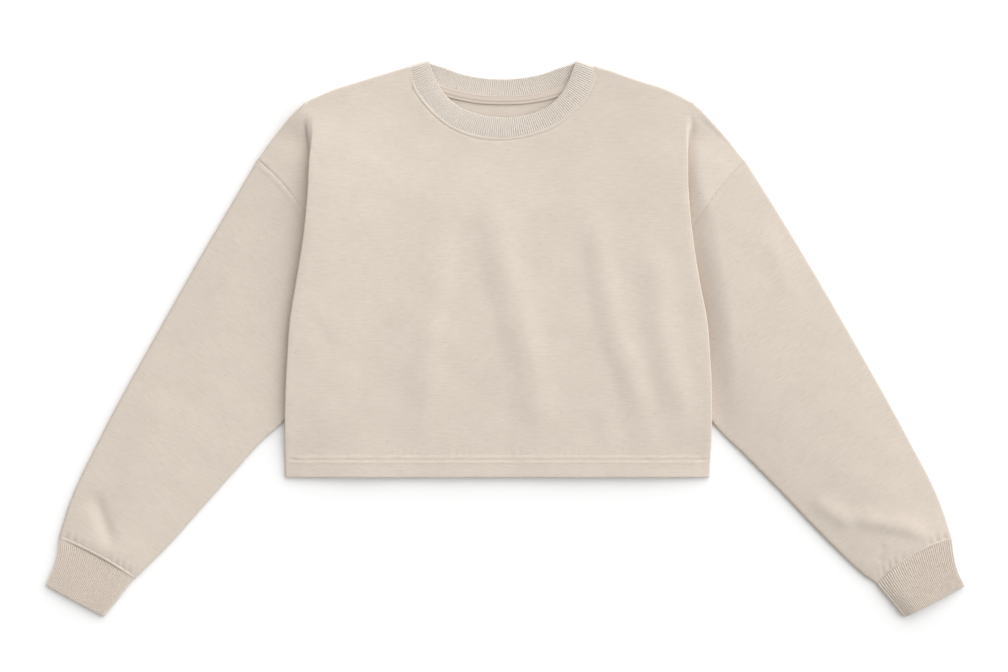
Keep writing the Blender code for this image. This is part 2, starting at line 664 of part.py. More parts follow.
def make_neck_tape() -> None:
    """Tape over the back neck seam, half on the collar and half on the back panel."""
    on_collar = RIB + LAY + TAPE / 2
    on_back = FLEECE + LAY + TAPE / 2
    reach = (
        (TAPE_BELOW, on_back),
        (TAPE_STEP[0], (on_back + on_collar) / 2),
        (TAPE_STEP[1], on_collar),
        (-TAPE_ABOVE, on_collar),
    )
    columns = []
    for step in range(TAPE_STEPS + 1):
        share = TAPE_ENDS[0] + (TAPE_ENDS[1] - TAPE_ENDS[0]) * step / TAPE_STEPS
        columns.append([Vector((*beside(BACK_NECK, share, -offset), height)) for offset, height in reach])
    sheet("neck_tape", columns, TAPE, COLOURS["neck_tape"])


def main() -> None:
    """Make every piece."""
    for old in list(bpy.data.objects):
        bpy.data.objects.remove(old, do_unlink=True)
    make_back()
    for side in ("left", "right"):
        make_sleeve(side)
        make_cuff(side)
    make_front()
    make_collar()
    make_neck_tape()


main()
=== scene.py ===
"""Looks of a cropped crew-neck sweatshirt in oatmeal marl, laid flat on its back with the sleeves down.

X runs across the body, Y from the hem to the neck, Z up out of the front, and the floor is z = 0.
Each piece of cloth is a fine grid of points halfway through the cloth, which ClothShell makes thick. The
grids follow the solids of the frame. Creases, seams, ribs and stitches are added to them.
"""
import logging
from dataclasses import dataclass, field
from enum import Enum
from typing import NamedTuple, Sequence

import bpy
import numpy as np
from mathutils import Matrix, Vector


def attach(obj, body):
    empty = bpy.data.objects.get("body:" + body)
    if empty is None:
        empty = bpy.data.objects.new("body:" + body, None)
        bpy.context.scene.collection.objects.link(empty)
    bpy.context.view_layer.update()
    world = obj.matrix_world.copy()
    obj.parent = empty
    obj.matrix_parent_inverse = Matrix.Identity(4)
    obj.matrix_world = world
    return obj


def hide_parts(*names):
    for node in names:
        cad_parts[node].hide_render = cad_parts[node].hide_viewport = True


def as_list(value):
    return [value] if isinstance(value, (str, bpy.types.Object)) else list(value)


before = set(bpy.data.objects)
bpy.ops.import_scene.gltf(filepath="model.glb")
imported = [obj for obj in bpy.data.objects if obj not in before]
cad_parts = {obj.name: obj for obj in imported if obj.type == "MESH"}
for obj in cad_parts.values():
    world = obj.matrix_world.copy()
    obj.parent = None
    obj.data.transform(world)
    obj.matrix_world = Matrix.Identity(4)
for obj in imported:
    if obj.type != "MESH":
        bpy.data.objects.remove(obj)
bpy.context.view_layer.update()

log = logging.getLogger("sweatshirt")


class Side(Enum):
    """The garment's two sides, as its front is seen."""

    LEFT = -1
    RIGHT = 1

    @property
    def word(self) -> str:
        """The side's name in the names of pieces."""
        return self.name.lower()


# Walls of the cloth and clearances, in metres
FLEECE = 0.0018                 # brushed jersey of body and sleeves
RIB = 0.0028                    # doubled rib of collar and cuffs
TAPE = 0.0010                   # neck tape
LAY = 0.0004                    # between two layers that lie on each other
STEP = FLEECE + LAY
LEVEL_1 = FLEECE / 2            # middle of the lowest layer of cloth
LEVEL_2 = LEVEL_1 + STEP
LEVEL_3 = LEVEL_2 + STEP

# Body
HEM_Y = -0.1625
HEM_DEPTH = 0.022
HEM_INSET = (0.006, 0.020)      # distances in from the side folds over which its doubled cloth begins
ARMPIT_Y = 0.118
FOLD_OPENS = (0.205, 0.268)     # going up, the front's side folds open out between these heights
FOLD_END = (0.195, 0.290)       # heights between which the cloth beside it sinks steadily
FOLD_END_STANDS = 0.0020        # how far it still stands above its level at their end
SLOPE_OVER = 0.010              # length below them over which its slope is read
SIDE_FOLD_TOP = 0.2900          # where the tables of the side folds end
ON_SLEEVE_Y = 0.104             # between these heights the body's sides lie over the sleeves
OFF_SLEEVE_Y = -0.101
CREASE_ROLL = STEP / 2          # radius of the crease at the inner end of a side fold's flap
FOLD_CORNER = 0.0009            # radius of a side fold's upper and lower corner
SHOULDER_ROLL = 0.0012          # radius in which the front turns down over the back along the shoulders
SHOULDER_EDGE_Z = 0.0006        # height at which it ends
BODY_LOFT = 0.0126              # how far the loose front stands above the back, where it stands highest
HEM_STANDS = 0.0043             # of that, how much at the hem
LOFT_TOP = 0.020                # height at which it has risen, going up
LOFT_SINKS = (-0.020, 0.310)    # heights between which it sinks again
LOFT_FALL = 0.50                # share of it that is gone at the shoulders
LOFT_CURVES = (1.35, 1.3)       # how sharply it rises and sinks
CREASES_BEGIN = (0.008, 0.035)  # distances in from the side folds over which the body's creases begin
CREASES_END = (0.200, 0.235)    # heights over which they end
EDGE_REACH = 0.110              # distance in from a side fold over which the front reaches that height
FRONT_RAMP = (0.140, 0.030)     # where it comes down again from its rise over the sleeve, going in
FRONT_SINKS = (0.060, 0.262)    # and going up, away from the side folds
SINKS_FROM = 0.050              # distance in from a side fold over which it takes to that from FOLD_OPENS
NECK_REACH = 0.100              # distance from the neck seam over which the front meets the collar's level
SHOULDER_LIFT = 0.0040          # how far the shoulders stand above the back
LIFT_RISES = (0.110, 0.290)     # heights over which they rise
LIFT_AT_SEAM = 0.60             # share of it along the armhole seams
LIFT_REACH = 0.045              # distance from them over which it grows to the whole
RAMP = (0.060, 0.030)           # where the back comes down from its rise over the sleeve, going in
HPS_COLUMN = 0.128              # distance in from the side fold to the column under the collar's corner

# Sleeves, cuffs, collar and tape
SLEEVE_ROLL = 0.0018            # radius of a sleeve's folds
SWELL_PEAKS = (0.75, 0.50)      # shares of the way across where it swells most, at the armhole and lower down
SLEEVE_CROWNS = {               # its swell at the armhole, below it and at the cuff
    Side.LEFT: (0.0010, 0.0014, 0.0034),
    Side.RIGHT: (0.0080, 0.0108, 0.0042),
}
BESIDE_BODY = {Side.LEFT: 0.020, Side.RIGHT: 0.031}  # distance out from the body over which it rises
BESIDE_SHOULDER = 0.50          # share of that distance at the shoulder
BESIDE_NARROWS = (0.130, 0.190)  # heights over which it narrows to that
BESIDE_CURVE = 1.9              # how sharply the sleeve rises beside the body
LEAVES_BODY = (-0.024, 0.020)   # from OFF_SLEEVE_Y, where the sleeve comes out from under the body
SWELL_CURVES = (1.6, 2.0)       # how full a swell is on the outer and on the inner side of its peak
CUFF_ROLL = (RIB + LAY) / 2
CUFF_CROWNS = {Side.LEFT: 0.0008, Side.RIGHT: 0.0042}     # how far it swells
CUFF_PEAKS = {Side.LEFT: 0.50, Side.RIGHT: 0.78}          # share of the way across where it swells most
CUFF_SEAM_BOWS = {Side.LEFT: 0.0042, Side.RIGHT: 0.0082}  # how far its seam bows up the sleeve
COLLAR_TIP_ROLL = 0.0028        # radius in which the collar turns over at its tips
COLLAR_TIP_STANDS = 0.0024      # how far its back half's free edge stands up at the tips
COLLAR_TIP_JOIN = 0.14          # share of its length over which the back half bends to meet the front one
COLLAR_TIP_REACH = 0.24         # share over which it stands up
COLLAR_SINKS = (0.10, 0.44)     # shares of its length over which the collar comes down from its tips
FRONT_NECK_Y = 0.2362           # lowest point of the front neck seam
COLLAR_CROWN = 0.0006           # how far it rises halfway across
COLLAR_STANDS = 0.0002          # how far its face stands above the front's
COLLAR_AIR = 0.0030             # between its front half and the back panel
TAPE_BELOW = 0.0042             # its reach on either side of the neck seam
TAPE_ABOVE = 0.0058
TAPE_ENDS = (0.11, 0.89)        # shares of the back neck seam


def ease(value: np.ndarray, start: float, end: float) -> np.ndarray:
    """An S from 0 at start to 1 at end.

    Args:
        value: Where to read it.
        start: Value at which it leaves 0.
        end: Value at which it reaches 1.

    Returns:
        The S at each value.
    """
    part = np.clip((np.asarray(value, dtype=float) - start) / (end - start), 0.0, 1.0)
    return part * part * (3.0 - 2.0 * part)


def arch(share: np.ndarray) -> np.ndarray:
    """An arch from 0 at either end to 1 halfway."""
    return 4.0 * share * (1.0 - share)


def bell(value: np.ndarray, width: float) -> np.ndarray:
    """A bell 1 high at 0, which is down to about a third at width."""
    return np.exp(-((np.asarray(value, dtype=float) / width) ** 2))


def hermite(knots: Sequence, values: Sequence, at: np.ndarray) -> np.ndarray:
    """Smooth curve through values at rising knots.

    Args:
        knots: Where the values stand, rising.
        values: A number or a point for each knot.
        at: Where to read the curve.

    Returns:
        The curve at each place.
    """
    knots = np.asarray(knots, dtype=float)
    values = np.asarray(values, dtype=float)
    at = np.asarray(at, dtype=float)
    slopes = np.gradient(values, knots, axis=0)
    i = np.clip(np.searchsorted(knots, at) - 1, 0, len(knots) - 2)
    span = knots[i + 1] - knots[i]
    t = np.clip((at - knots[i]) / span, 0.0, 1.0)
    if values.ndim > 1:
        span = span[..., None]
        t = t[..., None]
    rise = (2 * t**3 - 3 * t**2 + 1) * values[i] + (3 * t**2 - 2 * t**3) * values[i + 1]
    return rise + span * ((t**3 - 2 * t**2 + t) * slopes[i] + (t**3 - t**2) * slopes[i + 1])


def read(rows: Sequence, at: np.ndarray) -> np.ndarray:
    """A table of rows (place, value) read at places."""
    return hermite(*zip(*rows), at)


def join(*parts: np.ndarray) -> np.ndarray:
    """Points from their coordinates."""
    return np.stack(parts, axis=-1)


def mix(one: np.ndarray, other: np.ndarray, share: np.ndarray) -> np.ndarray:
    """A value between one and other."""
    return one + (other - one) * share


def units(directions: np.ndarray) -> np.ndarray:
    """Directions made one long."""
    return directions / np.maximum(np.linalg.norm(directions, axis=-1, keepdims=True), 1e-12)


def run_along(line: np.ndarray) -> np.ndarray:
    """Distance along a line to each of its points."""
    return np.concatenate([[0.0], np.cumsum(np.linalg.norm(np.diff(line, axis=0), axis=1))])


def graded(length: float, step: float, fine: float, start: float = 0.0, end: float = 0.0) -> np.ndarray:
    """Shares of a length, a step apart, or finer near its ends.

    Args:
        length: The whole length.
        step: Spacing in the middle.
        fine: Spacing near the ends.
        start: Reach of the fine spacing at the start.
        end: Reach of the fine spacing at the end.

    Returns:
        Shares from 0 to 1.
    """
    middle = np.linspace(start, length - end, int(round((length - start - end) / step)) + 1)
    before = np.linspace(0.0, start, int(round(start / fine)) + 1)[:-1]
    after = np.linspace(length - end, length, int(round(end / fine)) + 1)[1:]
    return np.concatenate([before, middle, after]) / length


@dataclass(frozen=True)
class Curve:
    """A smooth curve through points in plan, read by its share of length."""

    points: tuple

    @property
    def knots(self) -> np.ndarray:
        """Share of the length at each point."""
        run = run_along(np.array(self.points))
        return run / run[-1]

    @property
    def length(self) -> float:
        """Length of the curve, in metres."""
        return float(run_along(self.at(np.linspace(0.0, 1.0, 200)))[-1])

    def at(self, share: np.ndarray) -> np.ndarray:
        """Points at shares of the length."""
        return hermite(self.knots, self.points, share)

    def along(self, share: np.ndarray) -> np.ndarray:
        """Unit directions of the curve at shares of its length."""
        return units(self.at(np.minimum(share + 0.01, 1.0)) - self.at(np.maximum(share - 0.01, 0.0)))

    def beside(self, share: np.ndarray, offset: float) -> np.ndarray:
        """Points moved to the left of the curve by offset."""
        ahead = self.along(share)
        return self.at(share) + join(-ahead[..., 1], ahead[..., 0]) * offset

    def nearest(self, x: np.ndarray, y: np.ndarray, samples: int = 240) -> tuple:
        """How far places lie from the curve.

        Args:
            x: Places across.
            y: Places along.
            samples: Number of points of the curve to try.

        Returns:
            Distance, share of the nearest point, and side (1 to the left of the curve, -1 to its right).
        """
        shares = np.linspace(0.0, 1.0, samples)
        line = self.at(shares)
        ahead = self.along(shares)
        flat_x, flat_y = np.ravel(x), np.ravel(y)
        best = np.full(flat_x.shape, np.inf)
        nearest = np.zeros(flat_x.shape, dtype=int)
        for k, (px, py) in enumerate(line):
            away = (flat_x - px) ** 2 + (flat_y - py) ** 2
            closer = away < best
            best[closer] = away[closer]
            nearest[closer] = k
        aside_x, aside_y = flat_x - line[nearest, 0], flat_y - line[nearest, 1]
        turn = ahead[nearest, 0] * aside_y - ahead[nearest, 1] * aside_x
        along = ahead[nearest, 0] * aside_x + ahead[nearest, 1] * aside_y
        away = np.where((nearest > 0) & (nearest < samples - 1), np.abs(turn), np.sqrt(best))
        share = shares[nearest] + np.where(away < 0.05, along, 0.0) / max(self.length, 1e-6)
        shape = np.shape(x)
        return away.reshape(shape), np.clip(share, 0.0, 1.0).reshape(shape), np.sign(turn).reshape(shape)


@dataclass(frozen=True)
class Outline:
    """One side's lines of the laid garment, and where its side fold lies."""

    shoulder: Curve
    armhole: Curve
    sleeve_outer: Curve
    sleeve_inner: Curve
    cuff_outer: Curve
    cuff_inner: Curve
    fold_edge: tuple             # (y, x) of the body's side fold
    tuck: tuple                  # (y, how far the front folds under)
    roll: tuple                  # (y, radius of the side fold's soft roll)

    def edge_x(self, y: np.ndarray) -> np.ndarray:
        """X of the side fold at heights y."""
        return read(self.fold_edge, y)

    def tuck_at(self, y: np.ndarray) -> np.ndarray:
        """How far the front folds under at heights y."""
        return read(self.tuck, y)

    def roll_at(self, y: np.ndarray) -> np.ndarray:
        """Radius of the side fold's roll at heights y."""
        return read(self.roll, y)

    def shoulder_y(self, x: np.ndarray) -> np.ndarray:
        """Height of the shoulder's outline at x."""
        return read(sorted(self.shoulder.points), x)

    def shoulder_out(self, x: np.ndarray) -> np.ndarray:
        """Unit directions in plan out of the garment, square to the shoulder at x.

        Args:
            x: Places across.

        Returns:
            The directions, as (places, 2).
        """
        ends = sorted((self.shoulder.points[0][0], self.shoulder.points[-1][0]))
        before = np.maximum(x - 0.004, ends[0])
        after = np.minimum(x + 0.004, ends[1])
        return units(join(self.shoulder_y(before) - self.shoulder_y(after), after - before))


OUTLINES = {
    Side.LEFT: Outline(
        shoulder=Curve((
            (-0.1084, 0.3202), (-0.1136, 0.3186), (-0.1670, 0.3022), (-0.2080, 0.2884), (-0.2415, 0.2700),
            (-0.2648, 0.2442), (-0.2900, 0.2100),
        )),
        armhole=Curve(((-0.2165, ARMPIT_Y), (-0.2340, 0.1460), (-0.2625, 0.1835), (-0.2900, 0.2100))),
        sleeve_outer=Curve((
            (-0.2900, 0.2100), (-0.3528, 0.1040), (-0.4130, -0.0020), (-0.4709, -0.1080), (-0.5120, -0.1960),
            (-0.5242, -0.2350),
        )),
        sleeve_inner=Curve((
            (-0.2165, ARMPIT_Y), (-0.2236, 0.1030), (-0.2270, 0.0550), (-0.2300, 0.0000), (-0.2370, -0.0560),
            (-0.2560, -0.0930), (-0.2863, -0.1214), (-0.3170, -0.1554), (-0.3575, -0.2008),
            (-0.3975, -0.2455), (-0.4244, -0.2722), (-0.4350, -0.2830),
        )),
        cuff_outer=Curve(((-0.5242, -0.2350), (-0.5252, -0.2510), (-0.5304, -0.2690), (-0.5395, -0.2890))),
        cuff_inner=Curve(((-0.4350, -0.2830), (-0.4425, -0.2915), (-0.4544, -0.3068), (-0.4706, -0.3265))),
        fold_edge=(
            (-0.1625, -0.2580), (-0.0950, -0.2582), (-0.0250, -0.2552), (0.0210, -0.2518), (0.0640, -0.2449),
            (0.1180, -0.2361), (0.1620, -0.2316), (0.2380, -0.2288), (0.2900, -0.2288),
        ),
        tuck=(
            (-0.1625, 0.0085), (0.0600, 0.0095), (ON_SLEEVE_Y, 0.0175), (ARMPIT_Y, 0.0240), (0.1500, 0.0150),
            (0.1800, 0.0065), (0.2050, 0.0054), (0.2900, 0.0054),
        ),
        roll=(
            (-0.1625, 0.0019), (-0.1200, 0.0025), (-0.0700, 0.0044), (0.0100, 0.0058), (0.0640, 0.0062),
            (0.0900, 0.0067), (0.1300, 0.0075), (0.1860, 0.0068), (0.2200, 0.0050), (0.2450, 0.0034),
            (0.2900, 0.0018),
        ),
    ),
    Side.RIGHT: Outline(
        shoulder=Curve((
            (0.1048, 0.3196), (0.1090, 0.3186), (0.1570, 0.3025), (0.1940, 0.2900), (0.2240, 0.2728),
            (0.2520, 0.2450), (0.2815, 0.2090),
        )),
        armhole=Curve(((0.2110, ARMPIT_Y), (0.2215, 0.1330), (0.2500, 0.1745), (0.2815, 0.2090))),
        sleeve_outer=Curve((
            (0.2815, 0.2090), (0.3157, 0.1560), (0.3478, 0.1035), (0.4096, -0.0020), (0.4688, -0.1080),
            (0.5125, -0.1960), (0.5255, -0.2362),
        )),
        sleeve_inner=Curve((
            (0.2110, ARMPIT_Y), (0.2140, 0.1030), (0.2130, 0.0550), (0.2150, 0.0000), (0.2210, -0.0560),
            (0.2430, -0.0970), (0.2841, -0.1393), (0.3261, -0.1820), (0.3661, -0.2244), (0.4040, -0.2620),
            (0.4224, -0.2785), (0.4370, -0.2884),
        )),
        cuff_outer=Curve(((0.5255, -0.2362), (0.5276, -0.2535), (0.5318, -0.2715), (0.5402, -0.2904))),
        cuff_inner=Curve(((0.4370, -0.2884), (0.4410, -0.2938), (0.4514, -0.3054), (0.4692, -0.3265))),
        fold_edge=(
            (-0.1625, 0.2406), (-0.0950, 0.2430), (-0.0250, 0.2408), (0.0210, 0.2370), (0.0640, 0.2288),
            (0.1180, 0.2205), (0.1620, 0.2160), (0.2380, 0.2148), (0.2900, 0.2148),
        ),
        tuck=(
            (-0.1625, 0.0085), (0.0600, 0.0090), (ON_SLEEVE_Y, 0.0108), (ARMPIT_Y, 0.0120), (0.1500, 0.0085),
            (0.1800, 0.0055), (0.2050, 0.0054), (0.2900, 0.0054),
        ),
        roll=(
            (-0.1625, 0.0019), (-0.1200, 0.0022), (-0.0700, 0.0040), (0.0100, 0.0050), (0.0900, 0.0050),
            (0.1300, 0.0047), (0.1860, 0.0036), (0.2200, 0.0024), (0.2450, 0.0017), (0.2900, 0.0012),
        ),
    ),
}
FRONT_NECK = Curve((
    (-0.1084, 0.3202), (-0.1050, 0.2965), (-0.0951, 0.2802), (-0.0838, 0.2672), (-0.0695, 0.2548),
    (-0.0458, 0.2424), (-0.0051, 0.2362), (0.0363, 0.2427), (0.0588, 0.2518), (0.0760, 0.2655),
    (0.0918, 0.2818), (0.1005, 0.2992), (0.1048, 0.3196),
))
FRONT_FREE = Curve((
    (-0.0904, 0.3268), (-0.0794, 0.2987), (-0.0695, 0.2844), (-0.0570, 0.2735), (-0.0330, 0.2630),
    (-0.0022, 0.2586), (0.0290, 0.2625), (0.0510, 0.2720), (0.0640, 0.2835), (0.0746, 0.3005),
    (0.0843, 0.3268),
))
BACK_FREE = Curve((
    (-0.0904, 0.3268), (-0.0550, 0.3112), (-0.0025, 0.3038), (0.0510, 0.3118), (0.0843, 0.3268),
))
BACK_NECK = Curve((
    (-0.1074, 0.3166), (-0.0830, 0.2950), (-0.0460, 0.2830), (-0.0025, 0.2792), (0.0420, 0.2830),
    (0.0780, 0.2950), (0.1038, 0.3160),
))


class Crease(NamedTuple):
    """A soft ridge (or, with a negative height, trough) along a smooth path on the garment."""

    path: tuple
    width: float
    height: float
    lean: float = 1.0            # width of its left flank against its right, going along the path


BODY_CREASES = (
    Crease(path=((-0.018, 0.200), (-0.010, 0.130), (0.006, 0.062), (0.021, 0.008), (0.032, -0.040),
                 (0.036, -0.085), (0.045, -0.148)), width=0.023, height=0.0025, lean=0.80),
    Crease(path=((-0.045, 0.200), (-0.036, 0.120), (-0.018, 0.040), (0.004, -0.040), (0.014, -0.148)),
           width=0.014, height=-0.0005),
    Crease(path=((0.098, 0.178), (0.110, 0.104), (0.120, 0.054), (0.130, 0.008), (0.146, -0.040),
                 (0.158, -0.078), (0.171, -0.137)), width=0.017, height=0.0020, lean=0.80),
    Crease(path=((0.088, 0.120), (0.104, 0.008), (0.128, -0.050), (0.150, -0.137)),
           width=0.010, height=-0.0004),
    Crease(path=((0.170, 0.150), (0.178, 0.060), (0.184, 0.008), (0.195, -0.040), (0.207, -0.078),
                 (0.219, -0.130)), width=0.018, height=0.0020, lean=0.95),
    Crease(path=((0.158, 0.060), (0.166, -0.020), (0.190, -0.110)), width=0.010, height=-0.0004),
    Crease(path=((-0.072, 0.160), (-0.078, 0.060), (-0.088, 0.008), (-0.093, -0.060), (-0.108, -0.140)),
           width=0.022, height=0.0020, lean=0.75),
    Crease(path=((0.110, -0.070), (0.128, -0.140)), width=0.011, height=0.0006),
    Crease(path=((-0.246, 0.040), (-0.222, 0.020), (-0.205, -0.008)), width=0.006, height=-0.0004),
    Crease(path=((-0.236, 0.012), (-0.214, 0.000), (-0.198, -0.016)), width=0.005, height=-0.0003),
)
SLEEVE_CREASES = (
    Crease(path=((-0.300, 0.160), (-0.350, -0.010)), width=0.018, height=0.0010),
    Crease(path=((-0.395, -0.060), (-0.455, -0.190)), width=0.016, height=0.0012),
    Crease(path=((-0.484, -0.176), (-0.472, -0.212), (-0.457, -0.250)),
           width=0.009, height=-0.0024, lean=0.9),
    Crease(path=((0.300, 0.150), (0.345, 0.020)), width=0.018, height=0.0010),
    Crease(path=((0.355, -0.189), (0.388, -0.208), (0.415, -0.224)), width=0.010, height=0.0020, lean=1.2),
    Crease(path=((0.398, -0.209), (0.441, -0.217), (0.473, -0.223), (0.506, -0.237)), width=0.009,
           height=0.0028, lean=1.3),
    Crease(path=((0.446, -0.240), (0.438, -0.266)), width=0.005, height=-0.0009),
)
CREASE_FADE = 0.30              # share of its length over which a crease dies away at each end


def relief(x: np.ndarray, y: np.ndarray, creases: Sequence) -> np.ndarray:
    """Height that creases add at places.

    Args:
        x: Places across.
        y: Places along.
        creases: The creases to add up.

    Returns:
        The height at each place.
    """
    total = np.zeros(np.shape(x))
    for crease in creases:
        away, share, side = Curve(crease.path).nearest(x, y, samples=60)
        width = np.where(side > 0, crease.width * crease.lean, crease.width)
        fade = ease(share, 0.0, CREASE_FADE) * (1.0 - ease(share, 1.0 - CREASE_FADE, 1.0))
        total += crease.height * fade * np.exp(-((away / width) ** 2))
    return total


WAVES = (                       # repeats across and along, phase and height of slow waves in loose cloth
    (52.0, 17.0, 0.4, 0.00022), (23.0, -61.0, 1.9, 0.00018), (-88.0, 34.0, 3.1, 0.00012),
    (71.0, 96.0, 0.7, 0.00010), (131.0, -45.0, 5.2, 0.00006), (-64.0, -118.0, 2.6, 0.00006),
)


def unevenness(x: np.ndarray, y: np.ndarray) -> np.ndarray:
    """Long slow waves in cloth that lies loosely, in metres.

    Args:
        x: Places across.
        y: Places along.

    Returns:
        The height at each place, about half a millimetre either way.
    """
    total = np.zeros(np.shape(x))
    for across, along, phase, height in WAVES:
        total += height * np.sin(across * x + along * y + phase)
    return total


def gathers(along: np.ndarray, away: np.ndarray, pitch: float, depth: float, reach: float) -> np.ndarray:
    """Small uneven dimples beside a seam.

    Args:
        along: Distance along the seam.
        away: Distance from it.
        pitch: About how far apart the dimples are.
        depth: How deep the deepest go.
        reach: How far from the seam they die away.

    Returns:
        Height to add, zero or less.
    """
    drift = 0.9 * np.sin(along / pitch * 1.31) + 0.6 * np.sin(along / pitch * 2.17 + 1.0)
    strength = 0.55 + 0.45 * np.sin(along / pitch * 0.83 + 0.5)
    wave = 0.5 + 0.5 * np.cos(2.0 * np.pi * along / pitch + drift)
    return -depth * strength * wave * np.exp(-((away / reach) ** 2))


@dataclass
class ClothShell:
    """A closed piece of cloth round a grid of points halfway through it.

    The grid has a column for each first index and a row for each second. NaN points are places with no cloth.
    """

    name: str
    middle: np.ndarray           # (columns, rows, 3)
    cut: np.ndarray              # (columns, rows, 2), places in the flat cut, in metres
    half_wall: np.ndarray        # (columns, rows), from the middle to each face
    ring: bool = False           # whether the last column joins the first
    rim_angles: tuple = (50.0, 0.0, -50.0)
    rim_reach: float = 0.6

    def grid_faces(self) -> np.ndarray:
        """Corner indices of the grid's faces, counted over its real points.

        Returns:
            Four corner indices for each face.
        """
        real = ~np.isnan(self.middle[..., 0])
        index = np.where(real, np.cumsum(real).reshape(real.shape) - 1, -1)
        here = index if self.ring else index[:-1]
        following = np.roll(index, -1, axis=0) if self.ring else index[1:]
        corners = (here[:, :-1], following[:, :-1], following[:, 1:], here[:, 1:])
        quads = np.stack(corners, axis=-1).reshape(-1, 4)
        return quads[(quads >= 0).all(axis=1)]

    @staticmethod
    def gathered(corners: Sequence, directions: np.ndarray, count: int) -> np.ndarray:
        """Mean direction at each point of the faces or edges that meet there.

        Args:
            corners: Point indices of every face or edge, one array for each corner.
            directions: Direction of each face or edge.
            count: Number of points.

        Returns:
            Unit directions, as (points, 3).
        """
        total = np.zeros((count, 3))
        for corner in corners:
            np.add.at(total, corner, directions)
        return units(total)

    def build(self, material: bpy.types.Material) -> bpy.types.Object:
        """Make the closed mesh and its object.

        Args:
            material: Finish of the whole piece.

        Returns:
            The new object, riding on the frame's body.
        """
        real = ~np.isnan(self.middle[..., 0])
        points, cut, half = self.middle[real], self.cut[real], self.half_wall[real][:, None]
        faces = self.grid_faces()
        count = len(points)
        corners = points[faces]
        across = np.cross(corners[:, 2] - corners[:, 0], corners[:, 3] - corners[:, 1])
        normals = self.gathered(faces.T, across, count)

        edges = np.concatenate([faces[:, [k, (k + 1) % 4]] for k in range(4)])
        code, back = edges[:, 0] * count + edges[:, 1], edges[:, 1] * count + edges[:, 0]
        border = edges[~np.isin(code, back)]
        start, end = border.T
        aside = np.cross(points[end] - points[start], normals[start] + normals[end])
        edge_points = np.unique(border)
        out = self.gathered((start, end), aside, count)[edge_points]
        slot = np.full(count, -1)
        slot[edge_points] = np.arange(len(edge_points))

        layers = [points + normals * half, points - normals * half]
        strips, strips_end = [start], [end]
        for angle in np.radians(self.rim_angles):
            base = sum(len(layer) for layer in layers)
            strips.append(base + slot[start])
            strips_end.append(base + slot[end])
            lift = normals[edge_points] * half[edge_points] * np.sin(angle)
            reach = out * half[edge_points] * np.cos(angle) * self.rim_reach
            layers.append(points[edge_points] + lift + reach)
        strips.append(start + count)
        strips_end.append(end + count)
        rim = [join(*four) for four in zip(strips_end, strips, strips[1:], strips_end[1:])]
        all_faces = np.concatenate([faces, faces[:, ::-1] + count, *rim])
        all_points = np.concatenate(layers)
        all_cut = np.concatenate([cut, cut] + [cut[edge_points]] * len(self.rim_angles))
        corners = all_points[all_faces]
        volume = sum((corners[:, 0] * np.cross(corners[:, k], corners[:, k + 1])).sum() for k in (1, 2))
        if volume < 0.0:
            all_faces = all_faces[:, ::-1]
        return dress(self.name, all_points, all_faces.tolist(), all_cut, material)


def dress(
    name: str, points: np.ndarray, faces: Sequence, cut: np.ndarray, material: bpy.types.Material
) -> bpy.types.Object:
    """Make a smooth mesh object that rides on the frame's body.

    Args:
        name: Name of the piece.
        points: Its vertices.
        faces: Vertex indices of each face.
        cut: A place in the flat cut for each vertex.
        material: Its finish.

    Returns:
        The new object.
    """
    mesh = bpy.data.meshes.new(name)
    mesh.from_pydata(points.tolist(), [], faces)
    mesh.shade_smooth()
    layer = mesh.uv_layers.new(name="cut")
    corners = np.empty(len(mesh.loops), dtype=np.int32)
    mesh.loops.foreach_get("vertex_index", corners)
    layer.data.foreach_set("uv", cut[corners].astype(np.float32).ravel())
    mesh.materials.append(material)
    piece = bpy.data.objects.new(name, mesh)
    bpy.context.scene.collection.objects.link(piece)
    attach(piece, "root")
    log.info("%s: %d faces", name, len(faces))
    return piece


def climb(y: np.ndarray, start: float, end: float) -> np.ndarray:
    """How far the body has climbed onto the sleeves at heights y, if it comes down from start to end."""
    return np.where(y < 0.0, ease(y, HEM_Y, OFF_SLEEVE_Y), 1.0 - ease(y, start, end))


def inward(x: np.ndarray, y: np.ndarray) -> np.ndarray:
    """How far places lie in from the nearer side fold."""
    return np.where(x < 0.0, x - OUTLINES[Side.LEFT].edge_x(y), OUTLINES[Side.RIGHT].edge_x(y) - x)


def turned_up(x: np.ndarray, y: np.ndarray) -> np.ndarray:
    """1 on the turned-up hem, 0 off it and along the side folds."""
    return (1.0 - ease(y, HEM_Y + HEM_DEPTH, HEM_Y + HEM_DEPTH + 0.003)) * ease(inward(x, y), *HEM_INSET)


